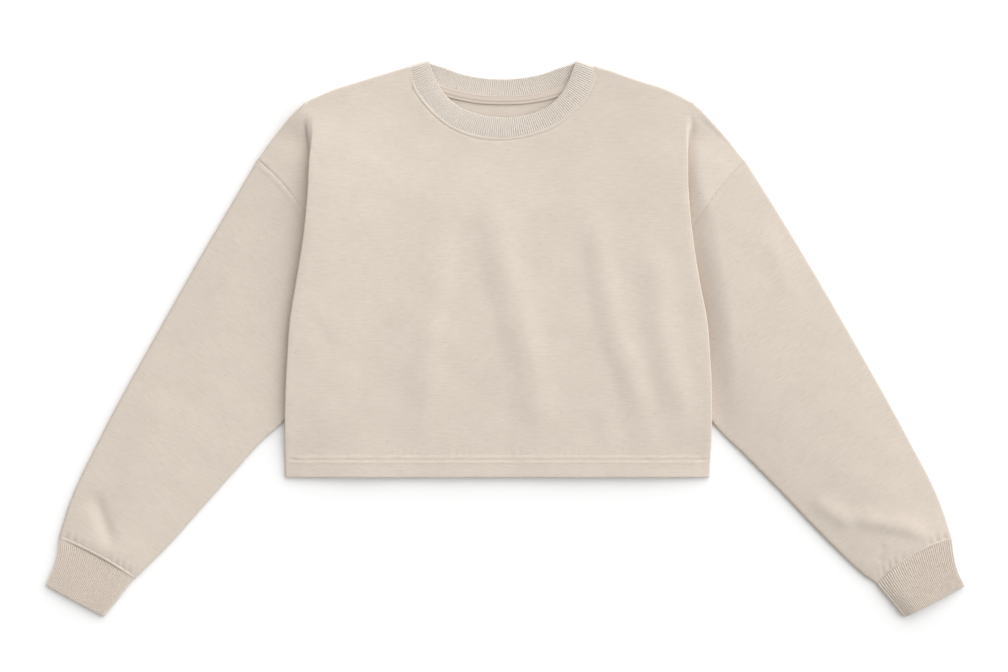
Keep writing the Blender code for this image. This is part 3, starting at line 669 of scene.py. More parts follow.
def side_profile(outline: Outline, y: np.ndarray, steps: tuple) -> tuple:
    """Section of the front across a side fold, as a chain of short lengths of cloth.

    It runs round the soft roll, back along the flap and round the crease. Where the fold opens, every length
    turns less, until the cloth is flat.

    Args:
        outline: The side's lines.
        y: Heights of the sections.
        steps: Lengths in the roll, in the flap and in the crease.

    Returns:
        Distance out from the fold's edge and height, both as (points, sections).
    """
    roll_steps, flap_steps, crease_steps = steps
    half_height = outline.roll_at(y)
    corner = np.minimum(half_height, FOLD_CORNER)
    turn_steps = roll_steps // 3
    wall_steps = roll_steps - 2 * turn_steps
    arc = 2.0 * corner * np.sin(np.pi / turn_steps / 4.0)
    wall = 2.0 * (half_height - corner) / wall_steps
    crease = 2.0 * CREASE_ROLL * np.sin(np.pi / crease_steps / 2.0)
    flap = np.maximum(outline.tuck_at(y) - FLEECE / 2 - corner - CREASE_ROLL, 0.0009) / flap_steps
    quarter = [np.pi / 2.0 * (k + 0.5) / turn_steps for k in range(turn_steps)]
    chain = [(arc, -turn) for turn in quarter]
    chain += [(wall, -np.pi / 2.0)] * wall_steps
    chain += [(arc, -np.pi / 2.0 - turn) for turn in quarter]
    chain += [(flap, -np.pi)] * flap_steps
    chain += [(crease, -np.pi * (1.0 - (k + 0.5) / crease_steps)) for k in range(crease_steps)]
    folded = 1.0 - ease(y, *FOLD_OPENS)
    out, height = [np.zeros_like(y)], [np.zeros_like(y)]
    for length, turn in chain:
        out.append(out[-1] + length * np.cos(turn * folded))
        height.append(height[-1] + length * np.sin(turn * folded))
    edge = out[roll_steps // 2] + FLEECE / 2
    flap_level = mix(LEVEL_1, LEVEL_3, np.where(y < 0.0, ease(y, HEM_Y, OFF_SLEEVE_Y), 1.0))
    base = np.where(y < ARMPIT_Y, height[roll_steps] - flap_level, height[-1] - LEVEL_2)
    return np.array(out) - edge, np.array(height) - base


@dataclass
class Panel:
    """What the front and the back share: columns that run from the hem to the neck or to a shoulder."""

    neck: Curve                  # the panel's neck seam
    neck_columns: int            # columns that end at it, less one
    step: float                  # spacing of columns and rows
    fine: float                  # spacing of rows in the hem and beside the neck

    STEPS = (12, 4, 4)           # lengths in a side fold's roll, flap and crease
    OUTER_DEPTH = 0.0080         # distance in from the side fold to the first column of the flat cloth
    SEAM = 0.0001                # between two pieces sewn together
    ABOUT_TOP = 0.315            # about where the columns end at the shoulder
    NECK_BEND_Y = -0.02          # height from which the neck's columns bend in towards it
    DRAWN_IN = (0.80, 1.0)       # shares of a column over which its top is drawn in from the shoulder
    HEM_FINE = 0.028             # height of the finely divided hem
    ARM_RUN = 0.150              # about the length of a column above the armpit
    NECK_FINE = 0.011            # of that, how much is finely divided beside the neck
    SEAM_FINE = (0.0012, 0.009)  # spacing of the columns beside the armhole seam, and its reach

    def __post_init__(self) -> None:
        """Divide the columns below the armpit and above it."""
        body = ARMPIT_Y - HEM_Y
        self.low = HEM_Y + body * graded(body, self.step, self.fine, start=self.HEM_FINE)
        self.high = graded(self.ARM_RUN, self.step, self.fine, end=self.NECK_FINE)

    @property
    def flat_columns(self) -> int:
        """Columns of one half that lie between the collar's corner and the side fold."""
        return int(round((HPS_COLUMN - self.OUTER_DEPTH) / self.step))

    def rows(self, top: np.ndarray) -> np.ndarray:
        """Heights of the rows of columns that end at top, as (columns, rows).

        Args:
            top: Height at which each column ends.

        Returns:
            The heights.
        """
        top = np.atleast_1d(top)
        low = np.broadcast_to(self.low, (len(top), len(self.low)))
        return np.concatenate([low, mix(ARMPIT_Y, top[:, None], self.high[1:])], axis=1)

    def neck_x(self, share: np.ndarray, y: np.ndarray) -> tuple:
        """X at heights y of the columns that end at shares of the neck, and where they end.

        Args:
            share: Share of the neck seam at which each column ends.
            y: Heights of its rows, as (columns, rows).

        Returns:
            X of each row, and the columns' ends as (columns, 2).
        """
        top = self.neck.beside(share, -self.SEAM)
        left, right = (OUTLINES[side].edge_x(y) - side.value * HPS_COLUMN for side in Side)
        low = mix(left, right, share[:, None])
        bend = ease((y - self.NECK_BEND_Y) / (top[:, 1:] - self.NECK_BEND_Y), 0.0, 1.0)
        return mix(low, top[:, :1], bend), top

    def neck_grid(self) -> tuple:
        """Places (x, y) of the columns that end at the neck.

        Returns:
            X and y, each as (columns, rows).
        """
        share = np.linspace(0.0, 1.0, self.neck_columns + 1)
        y = self.rows(self.neck.beside(share, -self.SEAM)[:, 1])
        return self.neck_x(share, y)[0], y

    def half_grid(self, side: Side) -> tuple:
        """Places of the columns between the collar's corner and the side fold, from the inside out.

        Args:
            side: Which side.

        Returns:
            X and y, each as (columns, rows).
        """
        outline = OUTLINES[side]
        corner = 0.0 if side is Side.LEFT else 1.0
        part = np.linspace(0.0, 1.0, self.flat_columns + 1)[1:, None]

        def places(y: np.ndarray) -> np.ndarray:
            """X of every column at heights y."""
            inner = self.neck_x(np.full(len(y), corner), y)[0]
            return mix(inner, outline.edge_x(y) - side.value * self.OUTER_DEPTH, part)

        top_x = places(np.full((self.flat_columns, 1), self.ABOUT_TOP))[:, 0]
        y = self.rows(outline.shoulder_y(top_x))
        return places(y), y

    def crease_x(self, side: Side, y: np.ndarray) -> np.ndarray:
        """X of the crease under a side fold at heights y."""
        return OUTLINES[side].edge_x(y) + side.value * side_profile(OUTLINES[side], y, self.STEPS)[0][-1]

    def patch_grid(self, side: Side, crease_top: float) -> tuple:
        """Places of the columns between the side crease and the armhole seam, from the armpit up.

        Args:
            side: Which side.
            crease_top: Where the crease ends at the shoulder.

        Returns:
            Places (x, y), as (columns, rows from the armpit up).
        """
        outline = OUTLINES[side]
        y = mix(ARMPIT_Y, crease_top, self.high)
        crease = join(self.crease_x(side, y), y)
        seam = outline.armhole.beside(self.high, side.value * self.SEAM)
        width = float(np.linalg.norm(seam - crease, axis=1).mean())
        fine, reach = self.SEAM_FINE
        part = graded(width, self.step, fine, end=reach)[1:, None, None]
        places = mix(crease, seam, part)
        places[:, -1, 1] = outline.shoulder_y(places[:, -1, 0])
        return places[..., 0], places[..., 1]

    def inset(self, side: Side, x: np.ndarray, y: np.ndarray, amount: float) -> tuple:
        """Columns drawn in from the shoulder's outline at their tops, and the way out at each top.

        Args:
            side: Which side.
            x: Places across, as (columns, rows).
            y: Places along, likewise.
            amount: How far the tops are drawn in.

        Returns:
            The new x and y, and the directions as (columns, 2).
        """
        out = OUTLINES[side].shoulder_out(x[:, -1])
        share = self.high
        if x.shape[1] > len(share):
            share = np.concatenate([np.zeros(len(self.low)), share[1:]])
        pull = amount * ease(share, *self.DRAWN_IN)
        return x - out[:, :1] * pull, y - out[:, 1:] * pull, out


def blank_rows(places: np.ndarray, before: int = 0, after: int = 0) -> np.ndarray:
    """Columns with rows that hold no cloth added at their ends."""
    return np.pad(places, ((0, 0), (before, after), (0, 0)), constant_values=np.nan)


@dataclass(frozen=True)
class HemLift:
    """A stretch where the front's hem stands a little off the floor."""

    x: float
    width: float
    height: float


HEM_LIFTS = (
    HemLift(x=-0.185, width=0.050, height=0.0016),
    HemLift(x=-0.060, width=0.030, height=0.0006),
    HemLift(x=0.085, width=0.040, height=0.0012),
    HemLift(x=0.180, width=0.045, height=0.0014),
)
HEM_LIFT_REACH = 0.05            # height over which they die away

# Seams and stitches. A gathering is the spacing, depth and reach of its dimples.
STITCH_PITCH = 0.0034            # of the topstitches at the neck and on the tape
STITCH_COVER = 0.60
ROW_POINTS = 400                 # points that a row follows along the hem
COLLAR_POINTS = 500
TAPE_POINTS = 300
COLLAR_STITCHES = (0.03, 0.97)   # shares of the front neck seam between which they run
TAPE_STITCHES = (0.0011, 0.0012)  # distance of the rows from the tape's lower and upper edge
TAPE_STITCHES_END = 0.01         # share of the seam by which they stop short of the tape's ends
HEM_PITCH = 0.0030
HEM_STITCHES_END = 0.004         # distance by which the hem's rows stop short of the side folds
HEM_STITCHES = (0.0165, 0.0235)  # distance of the two rows of stitches from the hem's edge
HEM_ROW = (0.00015, 0.0009)      # height and width of the ridge that carries each of them
HEM_GROOVE = (0.0003, 0.0013)    # depth and width of the groove between them
HEM_GATHERS = (0.0042, 0.0006, 0.0022)
HEM_BAND_ABOVE = 0.008           # distance above them of the wider dimples
HEM_BAND_GATHERS = (0.0085, 0.0004, 0.0070)
HEM_EVEN = 0.03                  # height over which the slow waves begin, going up from the hem
SEAM_READ_Y = (0.20, 0.25)       # heights from which the front and the back look for their neck seam
NECK_STITCH = 0.0040             # distance of the topstitch from the collar seam
BACK_NECK_ROLL = (0.0002, 0.004)  # height and width of the back's seam allowance
NECK_BAND = 0.00028              # height of the seam allowance under it
NECK_BAND_RISES = (0.0002, 0.0016)
NECK_BAND_SINKS = (0.0026, 0.0046)
NECK_SEAM = (0.0003, 0.0008)     # depth and width of the seam's groove
NECK_GROOVE = (0.00055, 0.0009)  # and of the topstitch's
NECK_GATHERS = (0.0080, 0.00030, 0.0040)
ARMHOLE_DIP = 0.0005
ARMHOLE_GROOVE = 0.0009          # width of its groove
ROLL_RISES = 0.0022              # distance from an armhole seam at which the allowance has risen
ROLL_SINKS = (0.0048, 0.0078)    # distances over which it sinks again


def side_height(outline: Outline, y: np.ndarray) -> np.ndarray:
    """Height of the front where its side fold starts, at heights y of the body."""
    table = np.linspace(HEM_Y - 0.002, 0.33, 500)
    return np.interp(y, table, side_profile(outline, table, Panel.STEPS)[1][0])


def seam_dip(away: np.ndarray, roll: float) -> np.ndarray:
    """Cloth that turns down into an armhole seam, with a soft roll of seam allowance beside it.

    Args:
        away: Distance from the seam.
        roll: Height of the roll.

    Returns:
        The height to add.
    """
    rolled = ease(away, 0.0, ROLL_RISES) * (1.0 - ease(away, *ROLL_SINKS))
    return roll * rolled - ARMHOLE_DIP * bell(away, ARMHOLE_GROOVE)


def shoulder_lift(x: np.ndarray, y: np.ndarray) -> np.ndarray:
    """How far the shoulders stand up, away from the armhole seams.

    Args:
        x: Places across.
        y: Places along.

    Returns:
        The height to add at each place.
    """
    lift = SHOULDER_LIFT * ease(y, *LIFT_RISES)
    near = lift > 0.0
    for outline in OUTLINES.values():
        away = outline.armhole.nearest(x[near], y[near])[0]
        lift[near] *= LIFT_AT_SEAM + (1.0 - LIFT_AT_SEAM) * ease(away, 0.0, LIFT_REACH)
    return lift


def fold_end_lift(outline: Outline, y: np.ndarray) -> np.ndarray:
    """Height that keeps the cloth up over the upper end of a side fold, where the fold itself opens flat.

    Args:
        outline: The side.
        y: Heights of the body.

    Returns:
        The height to add.
    """
    start, end = FOLD_END
    length = end - start
    before, level = side_height(outline, np.array((start - SLOPE_OVER, start)))
    t = np.clip((y - start) / length, 0.0, 1.0)
    steady = mix(level, LEVEL_2 + FOLD_END_STANDS, ease(t, 0.0, 1.0))
    steady += (level - before) / SLOPE_OVER * length * t * (1.0 - t) ** 2
    return np.where(y > start, steady - side_height(outline, y), 0.0)


def collar_level(share: np.ndarray) -> np.ndarray:
    """Height of the middle of the collar's front half, at shares of the way from tip to tip."""
    tip = RIB / 2 + 2.0 * COLLAR_TIP_ROLL
    return mix(tip, FLEECE + LAY + COLLAR_AIR + RIB / 2, ease(np.minimum(share, 1.0 - share), *COLLAR_SINKS))


def front_height(x: np.ndarray, y: np.ndarray) -> np.ndarray:
    """Middle of the front panel between its side folds.

    Args:
        x: Places across.
        y: Places along.

    Returns:
        Its height at each place.
    """
    depth = inward(x, y)
    opening = climb(y, *FOLD_OPENS)
    opening = mix(opening, 1.0 - ease(y, *FRONT_SINKS), ease(depth, 0.0, SINKS_FROM) * (y > 0.0))
    climbed = (LEVEL_3 - LEVEL_1) * opening * ease(depth, *FRONT_RAMP)
    sunk = np.clip((y - LOFT_SINKS[0]) / (LOFT_SINKS[1] - LOFT_SINKS[0]), 0.0, 1.0) ** LOFT_CURVES[1]
    risen = 1.0 - np.clip((LOFT_TOP - y) / (LOFT_TOP - HEM_Y), 0.0, 1.0) ** LOFT_CURVES[0]
    loft = mix(HEM_STANDS * ease(depth, *HEM_INSET), BODY_LOFT, risen)
    middle = LEVEL_2 + np.hypot(climbed, loft * (1.0 - LOFT_FALL * sunk))
    folds = [side_height(outline, y) + fold_end_lift(outline, y) for outline in OUTLINES.values()]
    edge = np.where(x < 0.0, *folds) + shoulder_lift(x, y)
    height = mix(edge, middle, ease(depth, 0.0, EDGE_REACH))
    lift = sum(row.height * bell(x - row.x, row.width) for row in HEM_LIFTS)
    height += lift * (1.0 - ease(y, HEM_Y, HEM_Y + HEM_LIFT_REACH))
    creased = ease(depth, *CREASES_BEGIN) * (1.0 - ease(y, *CREASES_END))
    height += creased * relief(x, y, BODY_CREASES)
    near = y > FRONT_NECK_Y - NECK_REACH
    away, share, _ = FRONT_NECK.nearest(x[near], y[near])
    level = collar_level(share) + (RIB - FLEECE) / 2 - COLLAR_STANDS
    height[near] += (level - height[near]) * (1.0 - ease(away, 0.0, NECK_REACH))
    return height + front_seams(x, y)


def front_seams(x: np.ndarray, y: np.ndarray) -> np.ndarray:
    """Relief of the front's neck seam and hem stitches, and the cloth's slow waves.

    Args:
        x: Places across.
        y: Places along.

    Returns:
        The height to add at each place.
    """
    depth = y - HEM_Y
    between = depth - sum(HEM_STITCHES) / 2
    total = 0.9 * unevenness(x, y) * ease(depth, 0.0, HEM_EVEN) - HEM_GROOVE[0] * bell(between, HEM_GROOVE[1])
    total += HEM_ROW[0] * sum(bell(depth - row, HEM_ROW[1]) for row in HEM_STITCHES)
    total += gathers(x, np.abs(between), *HEM_GATHERS)
    total += gathers(x, np.abs(between - HEM_BAND_ABOVE), *HEM_BAND_GATHERS)
    near = y > SEAM_READ_Y[0]
    away, share, _ = FRONT_NECK.nearest(x[near], y[near])
    band = NECK_BAND * ease(away, *NECK_BAND_RISES) * (1.0 - ease(away, *NECK_BAND_SINKS))
    band -= NECK_SEAM[0] * bell(away, NECK_SEAM[1])
    band -= NECK_GROOVE[0] * bell(away - NECK_STITCH, NECK_GROOVE[1])
    band += gathers(share * FRONT_NECK.length, np.abs(away - NECK_STITCH), *NECK_GATHERS)
    total[near] += band
    return total


def back_height(x: np.ndarray, y: np.ndarray) -> np.ndarray:
    """Middle of the back panel: on the floor, and on top of the sleeves along the sides."""
    climbed = climb(y, ON_SLEEVE_Y, ARMPIT_Y) * ease(inward(x, y), *RAMP)
    return LEVEL_1 + (LEVEL_3 - LEVEL_1) * climbed + FLEECE / 2 * turned_up(x, y)


def hem_wall(x: np.ndarray, y: np.ndarray) -> np.ndarray:
    """Half the wall of a body panel, doubled in the turned-up hem."""
    return FLEECE / 2 * (1.0 + turned_up(x, y))


@dataclass
class Front(Panel):
    """The front: body, side folds and tucks, and the shoulders out to the armhole seams."""

    neck: Curve = FRONT_NECK
    neck_columns: int = 104
    step: float = 0.0030
    fine: float = 0.0011

    ROLL_TURNS = (22.5, 45.0, 67.5, 90.0)
    ROLL_DROPS = (0.5, 1.0)      # shares of the way from the end of the roll down to the back's edge
    ROLL_ROWS = len(ROLL_TURNS) + len(ROLL_DROPS)
    ROLL_CUT = 0.0008            # cloth in each row of the roll
    INSET = SHOULDER_ROLL + FLEECE / 2
    FOLD_REACH = 0.050           # how far out from a side fold its upper end lifts the patch beside it
    ARMHOLE_ROLL = 0.00018       # of seam allowance, on the body's side
    ARMHOLE_GATHERS = (0.0090, 0.00035, 0.0050)

    def rolled(self, middle: np.ndarray, out: np.ndarray) -> np.ndarray:
        """Rows that turn the tops of columns down over the back's edge.

        Args:
            middle: The columns, as (columns, rows, 3).
            out: Unit direction in plan out of the garment at each column's top.

        Returns:
            The columns with the rolled rows added.
        """
        top = middle[:, -1]
        out = np.pad(out, ((0, 0), (0, 1)))
        rows = []
        for turn in np.radians(self.ROLL_TURNS):
            rows.append(top + out * SHOULDER_ROLL * np.sin(turn))
            rows[-1][:, 2] -= SHOULDER_ROLL * (1.0 - np.cos(turn))
        end = rows[-1].copy()
        for share in self.ROLL_DROPS:
            rows.append(end.copy())
            rows[-1][:, 2] += (SHOULDER_EDGE_Z - end[:, 2]) * share
        return np.concatenate([middle, np.stack(rows, axis=1)], axis=1)

    def patch_height(self, side: Side, x: np.ndarray, y: np.ndarray) -> np.ndarray:
        """Height of the cloth between a side fold and the armhole seam.

        Args:
            side: Which side.
            x: Places across.
            y: Places along.

        Returns:
            Its height at each place.
        """
        outline = OUTLINES[side]
        from_fold = np.abs(x - self.crease_x(side, y))
        away, along, _ = outline.armhole.nearest(x, y)
        height = LEVEL_2 + 0.8 * unevenness(x, y) + seam_dip(away, self.ARMHOLE_ROLL)
        height += gathers(along * outline.armhole.length, away, *self.ARMHOLE_GATHERS) + shoulder_lift(x, y)
        height += fold_end_lift(outline, y) * (1.0 - ease(from_fold, 0.0, self.FOLD_REACH))
        crown = SLEEVE_CROWNS[side][0] * swell(1.0 - along, SWELL_PEAKS[0])
        return height + crown * clear_of_body(side, x, y)

    def half(self, side: Side) -> tuple:
        """Columns of one side, from the collar's corner out, and their places in the cut.

        Args:
            side: Which side.

        Returns:
            Points as (columns, rows, 3), and places in the cut as (columns, rows, 2).
        """
        outline = OUTLINES[side]
        blank = len(self.low) - 1
        x, y = self.half_grid(side)
        x, y, out = self.inset(side, x, y, self.INSET)
        body = self.rolled(join(x, y, front_height(x, y)), out)
        body_cut = join(x, y)

        top_y = float(outline.shoulder_y(outline.edge_x(SIDE_FOLD_TOP)))
        count = sum(self.STEPS) + 1
        y = self.rows(np.full(count, top_y))
        away, height = side_profile(outline, y[0], self.STEPS)
        x = outline.edge_x(y[0]) + side.value * away
        y[:, -1] = outline.shoulder_y(x[:, -1])
        height += shoulder_lift(x, y) + fold_end_lift(outline, y)
        lengths = np.hypot(np.diff(away, axis=0), np.diff(height, axis=0))
        run = np.concatenate([np.zeros((1, lengths.shape[1])), np.cumsum(lengths, axis=0)])
        unrolled = x[0] + side.value * run
        fold_cut = join(unrolled, y)
        hidden = np.arange(count)[:, None] > self.STEPS[0] + self.STEPS[1]
        hidden = hidden & (np.arange(y.shape[1])[None, :] < blank)
        x, y, out = self.inset(side, x, y, self.INSET)
        fold = join(x, y, height)
        fold[hidden] = np.nan
        fold = self.rolled(fold, out)

        x, y = self.patch_grid(side, top_y)
        cut_x = unrolled[-1][blank:] + (x - self.crease_x(side, y[0]))
        x, y, out = self.inset(side, x, y, self.INSET)
        patch = self.rolled(join(x, y, self.patch_height(side, x, y)), out)
        patch_cut = join(cut_x, y)
        cut = np.concatenate([body_cut, fold_cut, blank_rows(patch_cut, blank)])
        roll_cut = [cut[:, -1:] + (0.0, self.ROLL_CUT * (row + 1)) for row in range(self.ROLL_ROWS)]
        middle = np.concatenate([body, fold, blank_rows(patch, blank)])
        return middle, np.concatenate([cut, *roll_cut], axis=1)

    def make(self, material: bpy.types.Material) -> bpy.types.Object:
        """Build the front.

        Args:
            material: Its finish.

        Returns:
            The new object.
        """
        x, y = self.neck_grid()
        neck = blank_rows(join(x, y, front_height(x, y)), after=self.ROLL_ROWS)
        neck_cut = blank_rows(join(x, y), after=self.ROLL_ROWS)
        (left, left_cut), (right, right_cut) = (self.half(side) for side in Side)
        middle = np.concatenate([left[::-1], neck, right])
        cut = np.concatenate([left_cut[::-1], neck_cut, right_cut])
        half = np.full(middle.shape[:2], FLEECE / 2)
        flat = slice(len(left) - self.flat_columns, len(left) + len(neck) + self.flat_columns)
        half[flat] = hem_wall(middle[flat, :, 0], middle[flat, :, 1])
        return ClothShell("front_panel", middle, cut, half).build(material)


@dataclass
class Back(Panel):
    """The back: flat on the floor, and over the sleeves along its sides."""

    neck: Curve = BACK_NECK
    neck_columns: int = 80
    step: float = 0.0040
    fine: float = 0.0020

    INSET = FLEECE + 0.0006      # it ends inside the front's roll
    SIDE_GAP = 0.012             # no column of the flat cloth lies nearer to the side fold
    SEAM_INSET = 0.0003          # from the front's crease, in from it

    def half(self, side: Side) -> tuple:
        """Columns of one side, from the collar's corner out.

        Args:
            side: Which side.

        Returns:
            Points as (columns, rows, 3).
        """
        outline = OUTLINES[side]
        x, y = self.half_grid(side)
        keep = np.abs(x[:, 0] - outline.edge_x(HEM_Y)) > self.SIDE_GAP
        x, y, _ = self.inset(side, x[keep], y[keep], self.INSET)
        body = join(x, y, back_height(x, y))

        top_x = self.crease_x(side, np.array([SIDE_FOLD_TOP]))[0]
        top_y = float(outline.shoulder_y(top_x))
        y = self.rows(np.array([top_y]))
        away = side_profile(outline, y[0], self.STEPS)[0]
        on_flap = np.arange(y.shape[1]) < len(self.low)
        reach = np.where(on_flap, away[self.STEPS[0] + self.STEPS[1]], away[-1])
        x = outline.edge_x(y) + side.value * (reach - self.SEAM_INSET)[None]
        x, y, _ = self.inset(side, x, y, self.INSET)
        seam = join(x, y, back_height(x, y))

        x, y = self.patch_grid(side, top_y)
        x, y, _ = self.inset(side, x, y, self.INSET)
        patch = join(x, y, np.full(x.shape, LEVEL_1))
        return np.concatenate([body, seam, blank_rows(patch, len(self.low) - 1)])

    def make(self, material: bpy.types.Material) -> bpy.types.Object:
        """Build the back.

        Args:
            material: Its finish.

        Returns:
            The new object.
        """
        x, y = self.neck_grid()
        height = back_height(x, y)
        near = y > SEAM_READ_Y[1]
        away = BACK_NECK.nearest(x[near], y[near])[0]
        height[near] += BACK_NECK_ROLL[0] * bell(away, BACK_NECK_ROLL[1])
        left, right = (self.half(side) for side in Side)
        middle = np.concatenate([left[::-1], join(x, y, height), right])
        half = np.full(middle.shape[:2], FLEECE / 2)
        real = ~np.isnan(middle[..., 0])
        half[real] = hem_wall(middle[real][:, 0], middle[real][:, 1])
        return ClothShell("back_panel", middle, middle[..., :2], half).build(material)


def half_turn(upper: np.ndarray, lower: np.ndarray, out: np.ndarray, count: int) -> np.ndarray:
    """Points of half circles in which cloth turns from an upper layer to a lower one.

    Args:
        upper: Last points of the upper layer, as (sections, 3).
        lower: Points under them on the lower layer.
        out: Unit direction in plan of the turn, as (sections, 2).
        count: Lengths in each half circle.

    Returns:
        The points between the layers, as (sections, count - 1, 3).
    """
    radius = (upper[:, 2] - lower[:, 2]) / 2
    angle = np.pi * np.arange(1, count) / count
    points = np.empty((len(upper), count - 1, 3))
    points[..., :2] = upper[:, None, :2] + out[:, None] * (radius[:, None] * np.sin(angle))[..., None]
    points[..., 2] = lower[:, 2:] + radius[:, None] * (1.0 + np.cos(angle))
    return points


@dataclass
class Tube:
    """A flattened tube, whose rings run over the top, round a fold, back underneath and round the other."""

    side: Side
    wall: float
    top_steps: int
    under_steps: int
    turn_steps: int

    def rings(self, plan: np.ndarray, height: np.ndarray, under: np.ndarray) -> np.ndarray:
        """Close sections of the top side and of the underside, on the floor, into rings.

        Args:
            plan: Places of the top side from the outer fold to the inner one, as (rings, points, 2).
            height: Its heights.
            under: Places of the underside, likewise.

        Returns:
            Points as (rings, around, 3).
        """
        top = np.concatenate([plan, height[..., None]], axis=-1)
        under = np.pad(under, ((0, 0), (0, 0), (0, 1)), constant_values=self.wall / 2)
        across = units(top[:, -1, :2] - top[:, 0, :2])
        inner = half_turn(top[:, -1], under[:, -1], across, self.turn_steps)
        outer = half_turn(top[:, 0], under[:, 0], -across, self.turn_steps)
        return np.concatenate([top, inner, under[:, ::-1], outer[:, ::-1]], axis=1)

    def build(
        self, name: str, rings: np.ndarray, half: np.ndarray, material: bpy.types.Material, rim: float
    ) -> bpy.types.Object:
        """Make the tube's shell.

        Args:
            name: Name of the piece, without its side.
            rings: Points as (rings, around, 3).
            half: Half the wall at each place around.
            material: Its finish.
            rim: Reach of its ends' rounding.

        Returns:
            The new object.
        """
        columns, cut = (grid.transpose(1, 0, 2) for grid in (rings, self.flat_cut(rings)))
        walls = np.repeat(half[:, None], len(rings), axis=1)
        shell = ClothShell(f"{name}_{self.side.word}", columns, cut, walls, ring=True, rim_reach=rim)
        return shell.build(material)

    def flat_cut(self, rings: np.ndarray) -> np.ndarray:
        """Place of each point in the flat cut: around the tube, and along its axis.

        Args:
            rings: Points as (rings, around, 3).

        Returns:
            Places as (rings, around, 2).
        """
        gaps = np.linalg.norm(np.diff(rings, axis=1), axis=2)
        around = np.concatenate([np.zeros((len(rings), 1)), np.cumsum(gaps, axis=1)], axis=1)
        around -= around[:, self.top_steps // 2][:, None]
        middles = rings[:, : self.top_steps + 1, :2].mean(axis=1)
        along = (rings[..., :2] - middles[0]) @ units(middles[-1] - middles[0])
        return join(around, along)


def clear_of_body(side: Side, x: np.ndarray, y: np.ndarray) -> np.ndarray:
    """How free of the body a place beside it is.

    Args:
        side: Which side.
        x: Places across.
        y: Places along.

    Returns:
        0 under the body, rising to 1 a little way out from its side fold.
    """
    outside = (x - OUTLINES[side].edge_x(np.clip(y, HEM_Y, SIDE_FOLD_TOP))) * side.value
    reach = BESIDE_BODY[side] * (1.0 - (1.0 - BESIDE_SHOULDER) * ease(y, *BESIDE_NARROWS))
    near = np.clip(1.0 - outside / reach, 0.0, 1.0)
    return 1.0 - near**BESIDE_CURVE * ease(y - OFF_SLEEVE_Y, *LEAVES_BODY)


def swell(share: np.ndarray, peak: np.ndarray) -> np.ndarray:
    """Swell of a sleeve between its folds.

    Args:
        share: Share of the way across, from the outer fold.
        peak: Share at which it stands highest.

    Returns:
        From 0 at the folds to 1.
    """
    run = np.where(share < peak, peak, 1.0 - peak)
    return 1.0 - np.clip(np.abs(share - peak) / run, 0.0, 1.0) ** np.where(share < peak, *SWELL_CURVES)


